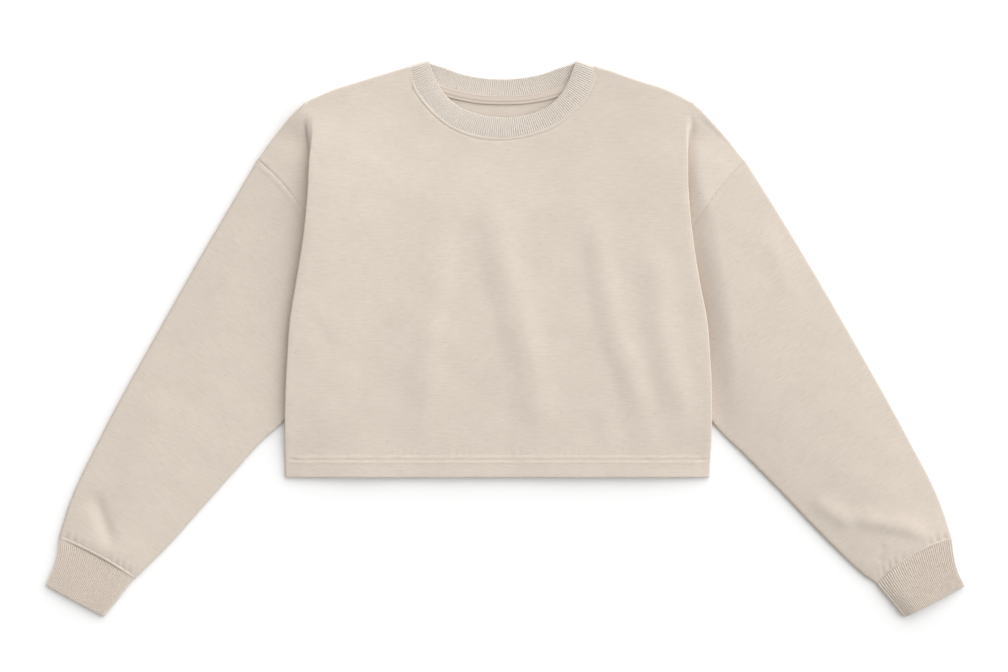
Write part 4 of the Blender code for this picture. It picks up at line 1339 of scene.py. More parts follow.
@dataclass
class Sleeve(Tube):
    """A sleeve, from the armhole seam to the cuff seam, partly under the body."""

    wall: float = FLEECE
    top_steps: int = 74
    under_steps: int = 36
    turn_steps: int = 7
    length: float = 0.56
    puff: float = 0.0007         # how far its end swells above the cuff

    ROWS = (0.0034, 0.0013, 0.010, 0.022)  # spacing, fine spacing, and its reach at armhole and cuff
    THICKENS = (0.12, 0.20)      # shares of its length over which its edge and its outer fold open
    FREE_OF_BODY = (-0.010, 0.060)  # distances below the body's hold over which its inner fold opens
    EDGES = 0.20                 # share of its width over which waves begin at its folds
    SOFT_EDGES = 12.0            # how quickly seams begin there
    ENDS = 3.0                   # of its length, one part in so many follows the seam at each end
    BELOW_ARMHOLE = 0.25         # share of its length over which its swell below the armhole grows
    TO_CUFF = (0.16, 0.64)       # shares over which it turns into its swell at the cuff
    PEAK_MOVES = (0.20, 0.60)    # shares over which the peak moves in
    ARMHOLE_ROLL = 0.00030       # of seam allowance, on the sleeve's side
    ARMHOLE_GATHERS = (0.0080, 0.00040, 0.0060)
    ARMHOLE_SHIFT = 0.004        # of the dimples along the seam, from those on the body's side
    PUFF_RISES = (0.003, 0.014)  # distances up from the cuff
    PUFF_SINKS = (0.026, 0.058)
    CUFF_DIP = (0.0007, 0.0024)  # depth and reach of its turn down into the cuff's seam
    CUFF_WAVES = ((0.0003, 0.0014, 0.0009), (-0.0006, 0.0032, 0.0012))  # height, distance up and width
    CUFF_GATHERS = (0.0092, 0.0009, 0.0100)
    PUCKERS_BEGIN = (0.0024, 0.0040)  # distances up over which they begin

    def top_height(
        self, down: np.ndarray, share: np.ndarray, places: np.ndarray, rolls: tuple, width: np.ndarray
    ) -> np.ndarray:
        """Height of the top side, which swells between its folds and lies flat under the body.

        Args:
            down: Share of the way down the sleeve, as (rings, 1).
            share: Share of the way across, as (rings, points).
            places: Places (x, y).
            rolls: Radii of the outer and the inner fold.
            width: Width of the sleeve at each ring, as (rings, 1).

        Returns:
            The heights.
        """
        outline = OUTLINES[self.side]
        x, y = places[..., 0], places[..., 1]
        freed = clear_of_body(self.side, x, y)
        edge = 2.0 * (rolls[0] * (1.0 - share) + rolls[1] * share)
        edges = ease(np.minimum(share, 1.0 - share), 0.0, self.EDGES)
        at_seam, below, at_cuff = SLEEVE_CROWNS[self.side]
        crown = mix(at_seam, below, ease(down, 0.0, self.BELOW_ARMHOLE))
        crown += (at_cuff - below) * ease(down, *self.TO_CUFF)
        waves = relief(x, y, SLEEVE_CREASES) + 0.8 * unevenness(x, y)
        peak = mix(*SWELL_PEAKS, ease(down, *self.PEAK_MOVES))
        rise = (edge - STEP) * ease(down, 0.0, self.THICKENS[0]) + crown * swell(share, peak) + waves * edges
        height = LEVEL_2 + rise * freed
        lift = SHOULDER_LIFT * LIFT_AT_SEAM * ease(y, *LIFT_RISES)
        height += lift * (1.0 - ease(down, 0.0, self.BELOW_ARMHOLE))
        away, along, _ = outline.armhole.nearest(x, y)
        seam = seam_dip(away, self.ARMHOLE_ROLL)
        seam += gathers(along * outline.armhole.length + self.ARMHOLE_SHIFT, away, *self.ARMHOLE_GATHERS)
        left = (1.0 - down) * self.length
        cuff = self.puff * ease(left, *self.PUFF_RISES) * (1.0 - ease(left, *self.PUFF_SINKS))
        cuff -= self.CUFF_DIP[0] * (1.0 - ease(left, 0.0, self.CUFF_DIP[1]))
        cuff += sum(rise * bell(left - place, reach) for rise, place, reach in self.CUFF_WAVES)
        puckers = gathers(share * width, left - self.PUFF_RISES[0], *self.CUFF_GATHERS)
        puckers *= ease(left, *self.PUCKERS_BEGIN)
        soft_edges = np.minimum(1.0, self.SOFT_EDGES * np.minimum(share, 1.0 - share))
        return height + (seam + cuff + puckers) * soft_edges

    def make(self, material: bpy.types.Material) -> bpy.types.Object:
        """Build the sleeve.

        Args:
            material: Its finish.

        Returns:
            The new object.
        """
        outline = OUTLINES[self.side]
        down = graded(self.length, *self.ROWS)[:, None]
        outer, inner = outline.sleeve_outer.at(down[:, 0]), outline.sleeve_inner.at(down[:, 0])
        opened = (ease(down, 0.0, self.THICKENS[1]), ease(OFF_SLEEVE_Y - inner[:, 1:], *self.FREE_OF_BODY))
        rolls = tuple(mix(CREASE_ROLL, SLEEVE_ROLL, share) for share in opened)
        width = np.linalg.norm(inner - outer, axis=1)[:, None]
        first = (rolls[0] + self.wall / 2) / width
        last = 1.0 - (rolls[1] + self.wall / 2) / width
        ends = outline.armhole.at(np.array([1.0, 0.0]))
        up = units(outline.sleeve_outer.at(0.97) - outline.sleeve_outer.at(1.0))

        def places(steps: int) -> tuple:
            """Shares across and places, for a number of steps across.

            Args:
                steps: Number of steps across.

            Returns:
                Shares as (rings, points), and places as (rings, points, 2).
            """
            share = mix(first, last, np.linspace(0.0, 1.0, steps + 1))
            straight = mix(ends[0], ends[1], share[..., None])
            curve = outline.armhole.beside(1.0 - share, -self.side.value * Panel.SEAM) - straight
            bow = CUFF_SEAM_BOWS[self.side] * arch(share)
            at_armhole = np.maximum(0.0, 1.0 - self.ENDS * down)
            at_cuff = np.maximum(0.0, self.ENDS * down - (self.ENDS - 1.0)) ** 2
            plan = mix(outer[:, None], inner[:, None], share[..., None])
            return share, plan + curve * at_armhole[..., None] + up * (bow * at_cuff)[..., None]

        share, plan = places(self.top_steps)
        height = self.top_height(down, share, plan, rolls, width)
        rings = self.rings(plan, height, places(self.under_steps)[1])
        return self.build("sleeve_shell", rings, np.full(rings.shape[1], self.wall / 2), material, rim=0.6)


def rib_wall(phase: np.ndarray, wall: float, depth: float) -> np.ndarray:
    """Half the wall of rib knit: round ribs with narrow valleys between them.

    Args:
        phase: Position across the ribs, counted in ribs.
        wall: Thickness of the cloth over its ribs.
        depth: Depth of the valleys on each face.

    Returns:
        Half the wall at each position.
    """
    return wall / 2 - depth * (1.0 - np.abs(np.sin(np.pi * phase)))


@dataclass
class Cuff(Tube):
    """A cuff: a short flattened tube of doubled rib."""

    RIBS = 36                    # across the top side
    TURN_RIBS = 2
    SAMPLES = 6                  # steps in each rib
    DEPTH = 0.0013               # of the valleys on each face
    ROWS = (0.0030, 0.0010, 0.004, 0.004)  # spacing, fine spacing, and its reach at either end
    FLARE = 0.9                  # share by which its swell grows to its free edge
    SEAM_DIP = (0.0003, 0.0030)  # depth and reach of its turn down into the seam

    wall: float = RIB
    top_steps: int = RIBS * SAMPLES
    under_steps: int = RIBS * SAMPLES
    turn_steps: int = TURN_RIBS * SAMPLES
    length: float = 0.057

    def crown(self, down: np.ndarray, share: np.ndarray) -> np.ndarray:
        """How far the top side swells, at shares of the way down and across."""
        return CUFF_CROWNS[self.side] * swell(share, CUFF_PEAKS[self.side]) * (1.0 + self.FLARE * down)

    def make(self, material: bpy.types.Material) -> bpy.types.Object:
        """Build the cuff.

        Args:
            material: Its finish.

        Returns:
            The new object.
        """
        outline = OUTLINES[self.side]
        down = graded(self.length, *self.ROWS)[:, None]
        outer, inner = outline.cuff_outer.at(down[:, 0]), outline.cuff_inner.at(down[:, 0])
        width = np.linalg.norm(inner - outer, axis=1)[:, None]
        margin = (CUFF_ROLL + self.wall / 2) / width
        share = mix(margin, 1.0 - margin, np.linspace(0.0, 1.0, self.top_steps + 1))
        up = units(outline.cuff_outer.at(0.0) - outline.cuff_outer.at(0.5))
        bow = CUFF_SEAM_BOWS[self.side] * arch(share) * (1.0 - down) ** 2
        plan = mix(outer[:, None], inner[:, None], share[..., None]) + up * bow[..., None]
        height = self.wall / 2 + 2.0 * CUFF_ROLL + self.crown(down, share)
        height += 0.4 * unevenness(plan[..., 0], plan[..., 1]) * arch(share)
        height -= self.SEAM_DIP[0] * bell(down * self.length, self.SEAM_DIP[1])
        rings = self.rings(plan, height, plan)
        phase = np.arange(rings.shape[1]) / self.SAMPLES
        return self.build("cuff_shell", rings, rib_wall(phase, self.wall, self.DEPTH), material, rim=0.8)


@dataclass
class Collar:
    """The collar: one flattened ring of doubled rib, its front half on top, folded at its two tips."""

    ACROSS = graded(0.026, 0.0022, 0.0009, start=0.0036, end=0.0027)  # from the seam to the free edge

    pitch: float = 0.0025        # of the ribs, halfway across the collar
    samples: int = 6             # steps in each rib
    depth: float = 0.0012
    turn_ribs: int = 3

    def edges(self, seam: Curve, free: Curve) -> tuple:
        """Points of the seam and of the free edge between the places where the collar turns over.

        Args:
            seam: The neck seam.
            free: The free edge.

        Returns:
            Shares from tip to tip, seam points and free points.
        """
        ribs = round((seam.length + free.length) / 2 / self.pitch)
        share = np.linspace(0.0, 1.0, ribs * self.samples + 1)
        ends = [(COLLAR_TIP_ROLL + RIB / 2) / curve.length for curve in (seam, free)]
        return share, *(curve.at(mix(end, 1.0 - end, share)) for curve, end in zip((seam, free), ends))

    def half(self, seam: np.ndarray, free: np.ndarray, height: np.ndarray, crown: float) -> np.ndarray:
        """Sections from the seam to the free edge, as (sections, points, 3).

        Args:
            seam: Points of the neck seam.
            free: Points of the free edge.
            height: Height of each section.
            crown: How far it rises halfway across.

        Returns:
            The sections.
        """
        plan = mix(seam[:, None], free[:, None], self.ACROSS[:, None])
        rise = height[:, None] + crown * arch(self.ACROSS)
        return np.concatenate([plan, rise[..., None]], axis=-1)

    def turn(self, over: np.ndarray, under: np.ndarray) -> np.ndarray:
        """Sections round the fold at a tip, from the upper section down to the lower one.

        Args:
            over: The upper section.
            under: The lower section.

        Returns:
            The sections between them.
        """
        run = over[-1, :2] - over[0, :2]
        out = units(np.array((-run[1], run[0])))
        out *= np.sign(out[0] * over[0, 0])
        outs = np.broadcast_to(out, (len(over), 2))
        return half_turn(over, under, outs, self.turn_ribs * self.samples).transpose(1, 0, 2)

    def make(self, material: bpy.types.Material) -> bpy.types.Object:
        """Build the collar.

        Args:
            material: Its finish.

        Returns:
            The new object.
        """
        share, seam, free = self.edges(FRONT_NECK, FRONT_FREE)
        over = self.half(seam, free, collar_level(share), COLLAR_CROWN)
        share, back_seam, back_free = self.edges(BACK_NECK, BACK_FREE)
        for curve, ends in ((back_seam, (seam[0], seam[-1])), (back_free, (free[0], free[-1]))):
            to_left, to_right = ends[0] - curve[0], ends[1] - curve[-1]
            curve += to_left * (1.0 - ease(share, 0.0, COLLAR_TIP_JOIN))[:, None]
            curve += to_right * ease(share, 1.0 - COLLAR_TIP_JOIN, 1.0)[:, None]
        under = self.half(back_seam, back_free, np.full(share.shape, RIB / 2), 0.0)
        from_tip = np.minimum(share, 1.0 - share)[:, None]
        under[..., 2] += COLLAR_TIP_STANDS * (1.0 - ease(from_tip, 0.0, COLLAR_TIP_REACH)) * self.ACROSS
        right, left = self.turn(over[-1], under[-1]), self.turn(over[0], under[0])
        columns = np.concatenate([over, right, under[::-1], left[::-1]])
        phase = np.arange(len(columns)) / self.samples
        half = np.repeat(rib_wall(phase, RIB, self.depth)[:, None], columns.shape[1], axis=1)
        across = np.linalg.norm(columns[..., :2] - columns[:, :1, :2], axis=-1)
        cut = join(np.repeat((phase * self.pitch)[:, None], columns.shape[1], axis=1), across)
        return ClothShell("collar_rib", columns, cut, half, ring=True, rim_reach=0.8).build(material)


@dataclass
class NeckTape:
    """The tape over the back neck seam, half on the collar and half on the back panel."""

    STEPS = (120, 12)            # lengths along it and across it
    CLIMBS = (-0.0022, 0.0002)   # distances above the seam over which it climbs onto the collar
    LOWER_EDGE = (0.0004, 0.0014)  # how far its lower edge stands up, and over what distance

    def section(self) -> tuple:
        """Distances below the neck seam and heights of the tape's middle, from its lower edge up.

        Returns:
            The distances and the heights.
        """
        on_collar = RIB + LAY + TAPE / 2
        on_back = FLEECE + LAY + TAPE / 2
        below = np.linspace(TAPE_BELOW, -TAPE_ABOVE, self.STEPS[1] + 1)
        height = mix(on_back, on_collar, ease(-below, *self.CLIMBS))
        height += self.LOWER_EDGE[0] * bell(below - TAPE_BELOW, self.LOWER_EDGE[1])
        return below, height

    def make(self, material: bpy.types.Material) -> bpy.types.Object:
        """Build the tape.

        Args:
            material: Its finish.

        Returns:
            The new object.
        """
        below, height = self.section()
        share = np.linspace(*TAPE_ENDS, self.STEPS[0] + 1)
        plan = np.stack([BACK_NECK.beside(share, -offset) for offset in below], axis=1)
        columns = np.concatenate([plan, np.broadcast_to(height[:, None], (*plan.shape[:2], 1))], axis=-1)
        run = np.repeat((share * BACK_NECK.length)[:, None], len(below), axis=1)
        cut = join(run, np.broadcast_to(-below, run.shape))
        half = np.full(run.shape, TAPE / 2)
        return ClothShell("tape_strip", columns, cut, half).build(material)


@dataclass
class Stitching:
    """Rows of short raised stitches of thread, joined into one piece."""

    name: str
    radius: float = 0.00030
    sides: int = 6
    points: list = field(default_factory=list)
    faces: list = field(default_factory=list)

    # Share of its length, and height and thickness in radii, at each ring of a stitch
    ARCH = ((0.0, -0.5, 0.4), (0.18, 0.35, 0.9), (0.5, 0.6, 1.0), (0.82, 0.35, 0.9), (1.0, -0.5, 0.4))
    AHEAD = 0.0004               # length over which the row's direction is read

    def row(self, line: np.ndarray, pitch: float, cover: float = 0.78) -> None:
        """Add a row of stitches.

        Args:
            line: Points on the cloth's face that the row follows, as (points, 3).
            pitch: Distance from stitch to stitch.
            cover: Share of the pitch that a stitch covers.
        """
        run = run_along(line)
        starts = np.arange(0.0, run[-1] - pitch, pitch)
        turn = 2.0 * np.pi * np.arange(self.sides) / self.sides
        base = sum(len(part) for part in self.points)
        rings = []
        for share, lift, thick in self.ARCH:
            at = starts + pitch * cover * share
            middle = join(*(np.interp(at, run, line[:, axis]) for axis in range(3)))
            ahead = join(*(np.interp(at + self.AHEAD, run, line[:, axis]) for axis in range(2)))
            ahead = units(ahead - middle[:, :2])
            aside = join(-ahead[:, 1], ahead[:, 0])
            middle[:, 2] += lift * self.radius
            ring = np.repeat(middle[:, None], self.sides, axis=1)
            ring[..., :2] += aside[:, None] * (np.cos(turn) * self.radius * thick)[:, None]
            ring[..., 2] += np.sin(turn) * self.radius * thick
            rings.append(ring)
        block = np.stack(rings, axis=1)
        self.points.append(block.reshape(-1, 3))
        per_stitch = len(self.ARCH) * self.sides
        for first in range(base, base + len(starts) * per_stitch, per_stitch):
            for k in range(first, first + per_stitch - self.sides, self.sides):
                for j in range(self.sides):
                    a, b = k + j, k + (j + 1) % self.sides
                    self.faces.append((a, a + self.sides, b + self.sides, b))
            last = first + per_stitch - self.sides
            self.faces.append(tuple(range(first, first + self.sides)))
            self.faces.append(tuple(reversed(range(last, last + self.sides))))

    def make(self, material: bpy.types.Material) -> bpy.types.Object:
        """Build the joined stitches."""
        points = np.concatenate(self.points)
        return dress(self.name, points, self.faces, points[:, :2], material)


def hem_stitches(material: bpy.types.Material) -> bpy.types.Object:
    """Two rows of twin-needle stitches along the front's hem.

    Args:
        material: Its finish.

    Returns:
        The new object.
    """
    stitching = Stitching("hem_stitches", radius=0.00024)
    for depth in HEM_STITCHES:
        y = HEM_Y + depth
        ends = (OUTLINES[side].edge_x(y) - side.value * HEM_STITCHES_END for side in Side)
        x = np.linspace(*ends, ROW_POINTS)
        y = np.full(x.shape, y)
        stitching.row(join(x, y, front_height(x, y) + hem_wall(x, y)), HEM_PITCH)
    return stitching.make(material)


def collar_stitches(material: bpy.types.Material) -> bpy.types.Object:
    """Topstitching on the front, round its neck seam.

    Args:
        material: Its finish.

    Returns:
        The new object.
    """
    stitching = Stitching("collar_stitches", radius=0.00032)
    share = np.linspace(*COLLAR_STITCHES, COLLAR_POINTS)
    x, y = FRONT_NECK.beside(share, -NECK_STITCH).T
    stitching.row(join(x, y, front_height(x, y) + FLEECE / 2), STITCH_PITCH, STITCH_COVER)
    return stitching.make(material)


def tape_stitches(material: bpy.types.Material) -> bpy.types.Object:
    """The two rows along the neck tape's edges.

    Args:
        material: Its finish.

    Returns:
        The new object.
    """
    stitching = Stitching("tape_stitches", radius=0.00038)
    below, height = NeckTape().section()
    share = np.linspace(TAPE_ENDS[0] + TAPE_STITCHES_END, TAPE_ENDS[1] - TAPE_STITCHES_END, TAPE_POINTS)
    for offset in (TAPE_BELOW - TAPE_STITCHES[0], -TAPE_ABOVE + TAPE_STITCHES[1]):
        x, y = BACK_NECK.beside(share, -offset).T
        z = np.interp(-offset, -below, height) + TAPE / 2
        stitching.row(join(x, y, np.full(x.shape, z)), STITCH_PITCH, STITCH_COVER)
    return stitching.make(material)


TURN = 6.28318                   # radians in a full turn


class Sockets:
    """A node tree with short calls to add and join its nodes."""

    def __init__(self, tree: bpy.types.NodeTree) -> None:
        """Work in a tree."""
        self.tree = tree

    def add(self, kind: str, inputs: dict, **settings: object) -> bpy.types.Node:
        """Add a node.

        Args:
            kind: Its type.
            inputs: A value or an output socket for each input, by name or number.
            **settings: Properties of the node.

        Returns:
            The new node.
        """
        node = self.tree.nodes.new(kind)
        for name, value in settings.items():
            setattr(node, name, value)
        for key, value in inputs.items():
            self.fill(node.inputs[key], value)
        return node

    def math(self, operation: str, *values: object, clamp: bool = False) -> bpy.types.NodeSocket:
        """Output of a Math node on values or sockets."""
        inputs = dict(enumerate(values))
        return self.add("ShaderNodeMath", inputs, operation=operation, use_clamp=clamp).outputs[0]

    def vector(self, operation: str, one: object, other: object) -> bpy.types.NodeSocket:
        """Output of a Vector Math node on values or sockets."""
        return self.add("ShaderNodeVectorMath", {0: one, 1: other}, operation=operation).outputs[0]

    def link(self, socket: bpy.types.NodeSocket, target: bpy.types.NodeSocket) -> None:
        """Join an output to an input."""
        self.tree.links.new(socket, target)

    def fill(self, target: bpy.types.NodeSocket, value: object) -> None:
        """Give an input a value, or join it to a socket.

        Args:
            target: The input.
            value: A value or an output socket.
        """
        if isinstance(value, bpy.types.NodeSocket):
            self.link(value, target)
        else:
            target.default_value = value

    def noise(self, vector: bpy.types.NodeSocket, scale: tuple, detail: float = 2.0) -> bpy.types.NodeSocket:
        """Noise that repeats so many times in a metre along each axis.

        Args:
            vector: Place in metres.
            scale: Repeats in a metre along each axis.
            detail: Octaves of finer noise.

        Returns:
            The noise, from 0 to 1.
        """
        stretched = self.vector("MULTIPLY", vector, scale)
        noise = self.add("ShaderNodeTexNoise", {"Vector": stretched, "Scale": 1.0, "Detail": detail})
        return noise.outputs["Fac"]

    def spread(self, value: bpy.types.NodeSocket, low: float, high: float) -> bpy.types.NodeSocket:
        """A value stretched so that low becomes 0 and high becomes 1."""
        inputs = {"Value": value, "From Min": low, "From Max": high}
        return self.add("ShaderNodeMapRange", inputs).outputs["Result"]

    def blend(self, share: object, one: object, other: object) -> bpy.types.NodeSocket:
        """Colour between one and other.

        Args:
            share: Share of the other colour.
            one: The first colour.
            other: The other colour.

        Returns:
            The blended colour.
        """
        node = self.add("ShaderNodeMix", {}, data_type="RGBA")
        by_name = {socket.name: socket for socket in node.inputs if socket.enabled}
        for key, value in {"Factor": share, "A": one, "B": other}.items():
            self.fill(by_name[key], value)
        return next(socket for socket in node.outputs if socket.enabled)


def new_group(name: str, inputs: dict, outputs: Sequence) -> tuple:
    """Start a shader node group.

    Args:
        name: Name of the group.
        inputs: Default of each input; None for a vector.
        outputs: Names of the value outputs.

    Returns:
        The group, its Sockets, its input node's outputs and its output node's inputs.
    """
    group = bpy.data.node_groups.new(name, "ShaderNodeTree")
    for key, default in inputs.items():
        kind = "NodeSocketVector" if default is None else "NodeSocketFloat"
        socket = group.interface.new_socket(name=key, in_out="INPUT", socket_type=kind)
        if default is not None:
            socket.default_value = default
    for key in outputs:
        group.interface.new_socket(name=key, in_out="OUTPUT", socket_type="NodeSocketFloat")
    nodes = Sockets(group)
    return group, nodes, nodes.add("NodeGroupInput", {}).outputs, nodes.add("NodeGroupOutput", {}).inputs


def marl_group() -> bpy.types.NodeTree:
    """Marl: pale and darker fibres spun together, seen as short streaks along the courses of the knit.

    Returns:
        The group, with the outputs Tone, Dark Flecks and Pale Flecks.
    """
    inputs = {"Vector": None, "Streak Length": 0.013, "Streak Width": 0.0022}
    group, nodes, given, result = new_group("marl_yarn", inputs, ("Tone", "Dark Flecks", "Pale Flecks"))
    across = nodes.math("DIVIDE", 1.0, given["Streak Length"])
    along = nodes.math("DIVIDE", 1.0, given["Streak Width"])
    scale = nodes.add("ShaderNodeCombineXYZ", {"X": across, "Y": along, "Z": 0.0}).outputs[0]
    placed = nodes.vector("MULTIPLY", given["Vector"], scale)
    streaks = nodes.noise(placed, (1.0, 1.0, 1.0), 3.0)
    grain = nodes.noise(given["Vector"], (620.0, 760.0, 1.0), 2.0)
    clouds = nodes.noise(given["Vector"], (21.0, 34.0, 1.0), 3.0)
    tone = nodes.math("MULTIPLY_ADD", nodes.spread(streaks, 0.30, 0.70), 0.50,
                      nodes.math("MULTIPLY", nodes.spread(grain, 0.28, 0.72), 0.28))
    tone = nodes.math("MULTIPLY_ADD", nodes.spread(clouds, 0.30, 0.70), 0.22, tone)
    nodes.link(tone, result["Tone"])
    dark = nodes.noise(placed, (2.1, 1.3, 1.0), 1.0)
    nodes.link(nodes.spread(dark, 0.66, 0.78), result["Dark Flecks"])
    shifted = nodes.vector("ADD", placed, (7.3, 4.1, 2.0))
    pale = nodes.noise(shifted, (1.7, 1.2, 1.0), 1.0)
    nodes.link(nodes.spread(pale, 0.66, 0.80), result["Pale Flecks"])
    return group


def loops_group() -> bpy.types.NodeTree:
    """Jersey loops: columns of V-shaped stitches, uneven from loop to loop.

    Returns:
        The group, with the output Height.
    """
    inputs = {"Vector": None, "Wale": 0.0011, "Course": 0.0008}
    group, nodes, given, result = new_group("knit_loops", inputs, ("Height",))
    wobble = nodes.noise(given["Vector"], (95.0, 120.0, 1.0), 2.0)
    place = nodes.add("ShaderNodeSeparateXYZ", {"Vector": given["Vector"]}).outputs
    wale = nodes.math("DIVIDE", place["X"], given["Wale"])
    course = nodes.math("DIVIDE", place["Y"], given["Course"])
    course = nodes.math("MULTIPLY_ADD", wobble, 2.4, course)
    wale = nodes.math("MULTIPLY_ADD", wobble, 1.6, wale)
    slant = nodes.math("ABSOLUTE", nodes.math("SUBTRACT", nodes.math("FRACT", wale), 0.5))
    leg = nodes.math("SINE", nodes.math("MULTIPLY", nodes.math("MULTIPLY_ADD", slant, 1.3, course), TURN))
    column = nodes.math("SINE", nodes.math("MULTIPLY", slant, TURN))
    raised = nodes.math("MULTIPLY_ADD", leg, 0.25, nodes.math("MULTIPLY_ADD", column, 0.30, 0.4))
    yarn = nodes.noise(given["Vector"], (1500.0, 1500.0, 1.0), 2.0)
    nodes.link(nodes.math("MULTIPLY_ADD", yarn, 0.35, raised), result["Height"])
    return group


def lint_group() -> bpy.types.NodeTree:
    """Lint and pilling: loose fibres that soften the cloth's face.

    Returns:
        The group, with the outputs Height and Lift.
    """
    group, nodes, given, result = new_group("lint", {"Vector": None, "Amount": 0.5}, ("Height", "Lift"))
    fibres = nodes.noise(given["Vector"], (340.0, 420.0, 1.0), 4.0)
    tufts = nodes.spread(nodes.noise(given["Vector"], (160.0, 190.0, 1.0), 2.0), 0.45, 0.75)
    nodes.link(nodes.math("MULTIPLY", fibres, given["Amount"]), result["Height"])
    lift = nodes.math("MULTIPLY", nodes.math("MULTIPLY", tufts, fibres), given["Amount"])
    nodes.link(lift, result["Lift"])
    return group


def twist_group() -> bpy.types.NodeTree:
    """Twisted thread or woven tape: fine slanting ridges.

    Returns:
        The group, with the output Height.
    """
    group, nodes, given, result = new_group("twist", {"Vector": None, "Pitch": 0.0008}, ("Height",))
    place = nodes.add("ShaderNodeSeparateXYZ", {"Vector": given["Vector"]}).outputs
    slanted = nodes.math("ADD", place["X"], nodes.math("MULTIPLY", place["Y"], 0.8))
    turns = nodes.math("MULTIPLY", nodes.math("DIVIDE", slanted, given["Pitch"]), TURN)
    ridges = nodes.math("MULTIPLY_ADD", nodes.math("SINE", turns), 0.35, 0.5)
    grain = nodes.noise(given["Vector"], (900.0, 900.0, 1.0), 2.0)
    nodes.link(nodes.math("MULTIPLY_ADD", grain, 0.4, ridges), result["Height"])
    return group


@dataclass(frozen=True)
class Finish:
    """A matt cotton finish: marl colours, the relief of its yarn, and a soft sheen."""

    name: str
    dark: tuple                  # colours of its yarns, linear
    pale: tuple
    fleck: tuple
    contrast: float = 0.46       # how far the marl goes from pale to dark
    fleck_share: float = 0.30
    relief: float = 0.00022      # depth of the bump, in metres
    wale: float = 0.0011
    course: float = 0.0008
    streak: tuple = (0.013, 0.0022)
    pitch: float = 0.0           # of its twist, where it is thread or tape and not knit
    lint: float = 0.5
    sheen: float = 0.08
    sheen_roughness: float = 0.55
    roughness: tuple = (0.84, 0.96)
    bump: float = 0.6            # strength of its relief
    specular: float = 0.25

    def material(self, groups: dict) -> bpy.types.Material:
        """Build the material.

        Args:
            groups: The node groups by name.

        Returns:
            The finished material.
        """
        material = bpy.data.materials.new(self.name)
        material.use_nodes = True
        nodes = Sockets(material.node_tree)
        shader = material.node_tree.nodes["Principled BSDF"]
        place = nodes.add("ShaderNodeUVMap", {}, uv_map="cut").outputs["UV"]

        def effect(name: str, **inputs: float) -> bpy.types.bpy_prop_collection:
            """Outputs of a group placed in the material."""
            node = nodes.add("ShaderNodeGroup", {}, node_tree=groups[name])
            nodes.link(place, node.inputs["Vector"])
            for key, value in inputs.items():
                node.inputs[key.replace("_", " ")].default_value = value
            return node.outputs

        marl = effect("marl_yarn", Streak_Length=self.streak[0], Streak_Width=self.streak[1])
        lint = effect("lint", Amount=self.lint)
        if self.pitch:
            height = effect("twist", Pitch=self.pitch)["Height"]
        else:
            height = effect("knit_loops", Wale=self.wale, Course=self.course)["Height"]
        low = 0.5 - self.contrast / 2
        tone = nodes.math("MULTIPLY_ADD", marl["Tone"], self.contrast, low, clamp=True)
        colour = nodes.blend(tone, (*self.dark, 1.0), (*self.pale, 1.0))
        share = nodes.math("MULTIPLY", marl["Dark Flecks"], self.fleck_share)
        colour = nodes.blend(share, colour, (*self.fleck, 1.0))
        share = nodes.math("MULTIPLY_ADD", marl["Pale Flecks"], self.fleck_share,
                           nodes.math("MULTIPLY", lint["Lift"], 0.25))
        colour = nodes.blend(share, colour, (*self.pale, 1.0))
        nodes.link(colour, shader.inputs["Base Color"])
        dull, dullest = self.roughness
        rough = nodes.add("ShaderNodeMapRange", {"Value": marl["Tone"], "To Min": dull, "To Max": dullest})
        nodes.link(rough.outputs["Result"], shader.inputs["Roughness"])
        raised = nodes.math("ADD", height, lint["Height"])
        bump = nodes.add("ShaderNodeBump", {"Height": raised, "Distance": self.relief, "Strength": self.bump})
        nodes.link(bump.outputs["Normal"], shader.inputs["Normal"])
        settings = {
            "Sheen Weight": self.sheen,
            "Sheen Roughness": self.sheen_roughness,
            "Sheen Tint": (*self.pale, 1.0),
            "Specular IOR Level": self.specular,
        }
        for name, value in settings.items():
            shader.inputs[name].default_value = value
        return material


JERSEY = Finish("oatmeal_jersey", dark=(0.534, 0.463, 0.393), pale=(0.754, 0.674, 0.593),
                fleck=(0.313, 0.261, 0.216))
SLEEVE_JERSEY = Finish("oatmeal_jersey_sleeves", dark=(0.521, 0.449, 0.383), pale=(0.733, 0.653, 0.576),
                       fleck=(0.301, 0.252, 0.210))
CUFF_RIB = Finish("oatmeal_rib_cuffs", dark=(0.518, 0.445, 0.382), pale=(0.760, 0.677, 0.600),
                  fleck=(0.294, 0.245, 0.206), wale=0.0009, streak=(0.0026, 0.0040))
COLLAR_RIB = Finish("oatmeal_rib_collar", dark=(0.566, 0.504, 0.441), pale=(0.811, 0.747, 0.676),
                    fleck=(0.320, 0.274, 0.234), wale=0.0009, streak=(0.0026, 0.0040))
TAPE_TWILL = Finish("herringbone_tape", dark=(0.550, 0.468, 0.397), pale=(0.721, 0.636, 0.554),
                    fleck=(0.379, 0.317, 0.262), contrast=0.25, fleck_share=0.1, pitch=0.0012, relief=0.00015)
THREAD = Finish("sewing_thread", dark=(0.532, 0.457, 0.385), pale=(0.744, 0.660, 0.575),
                fleck=(0.447, 0.382, 0.316), contrast=0.3, fleck_share=0.1, pitch=0.0005, relief=0.00008,
                lint=0.2, sheen=0.05)


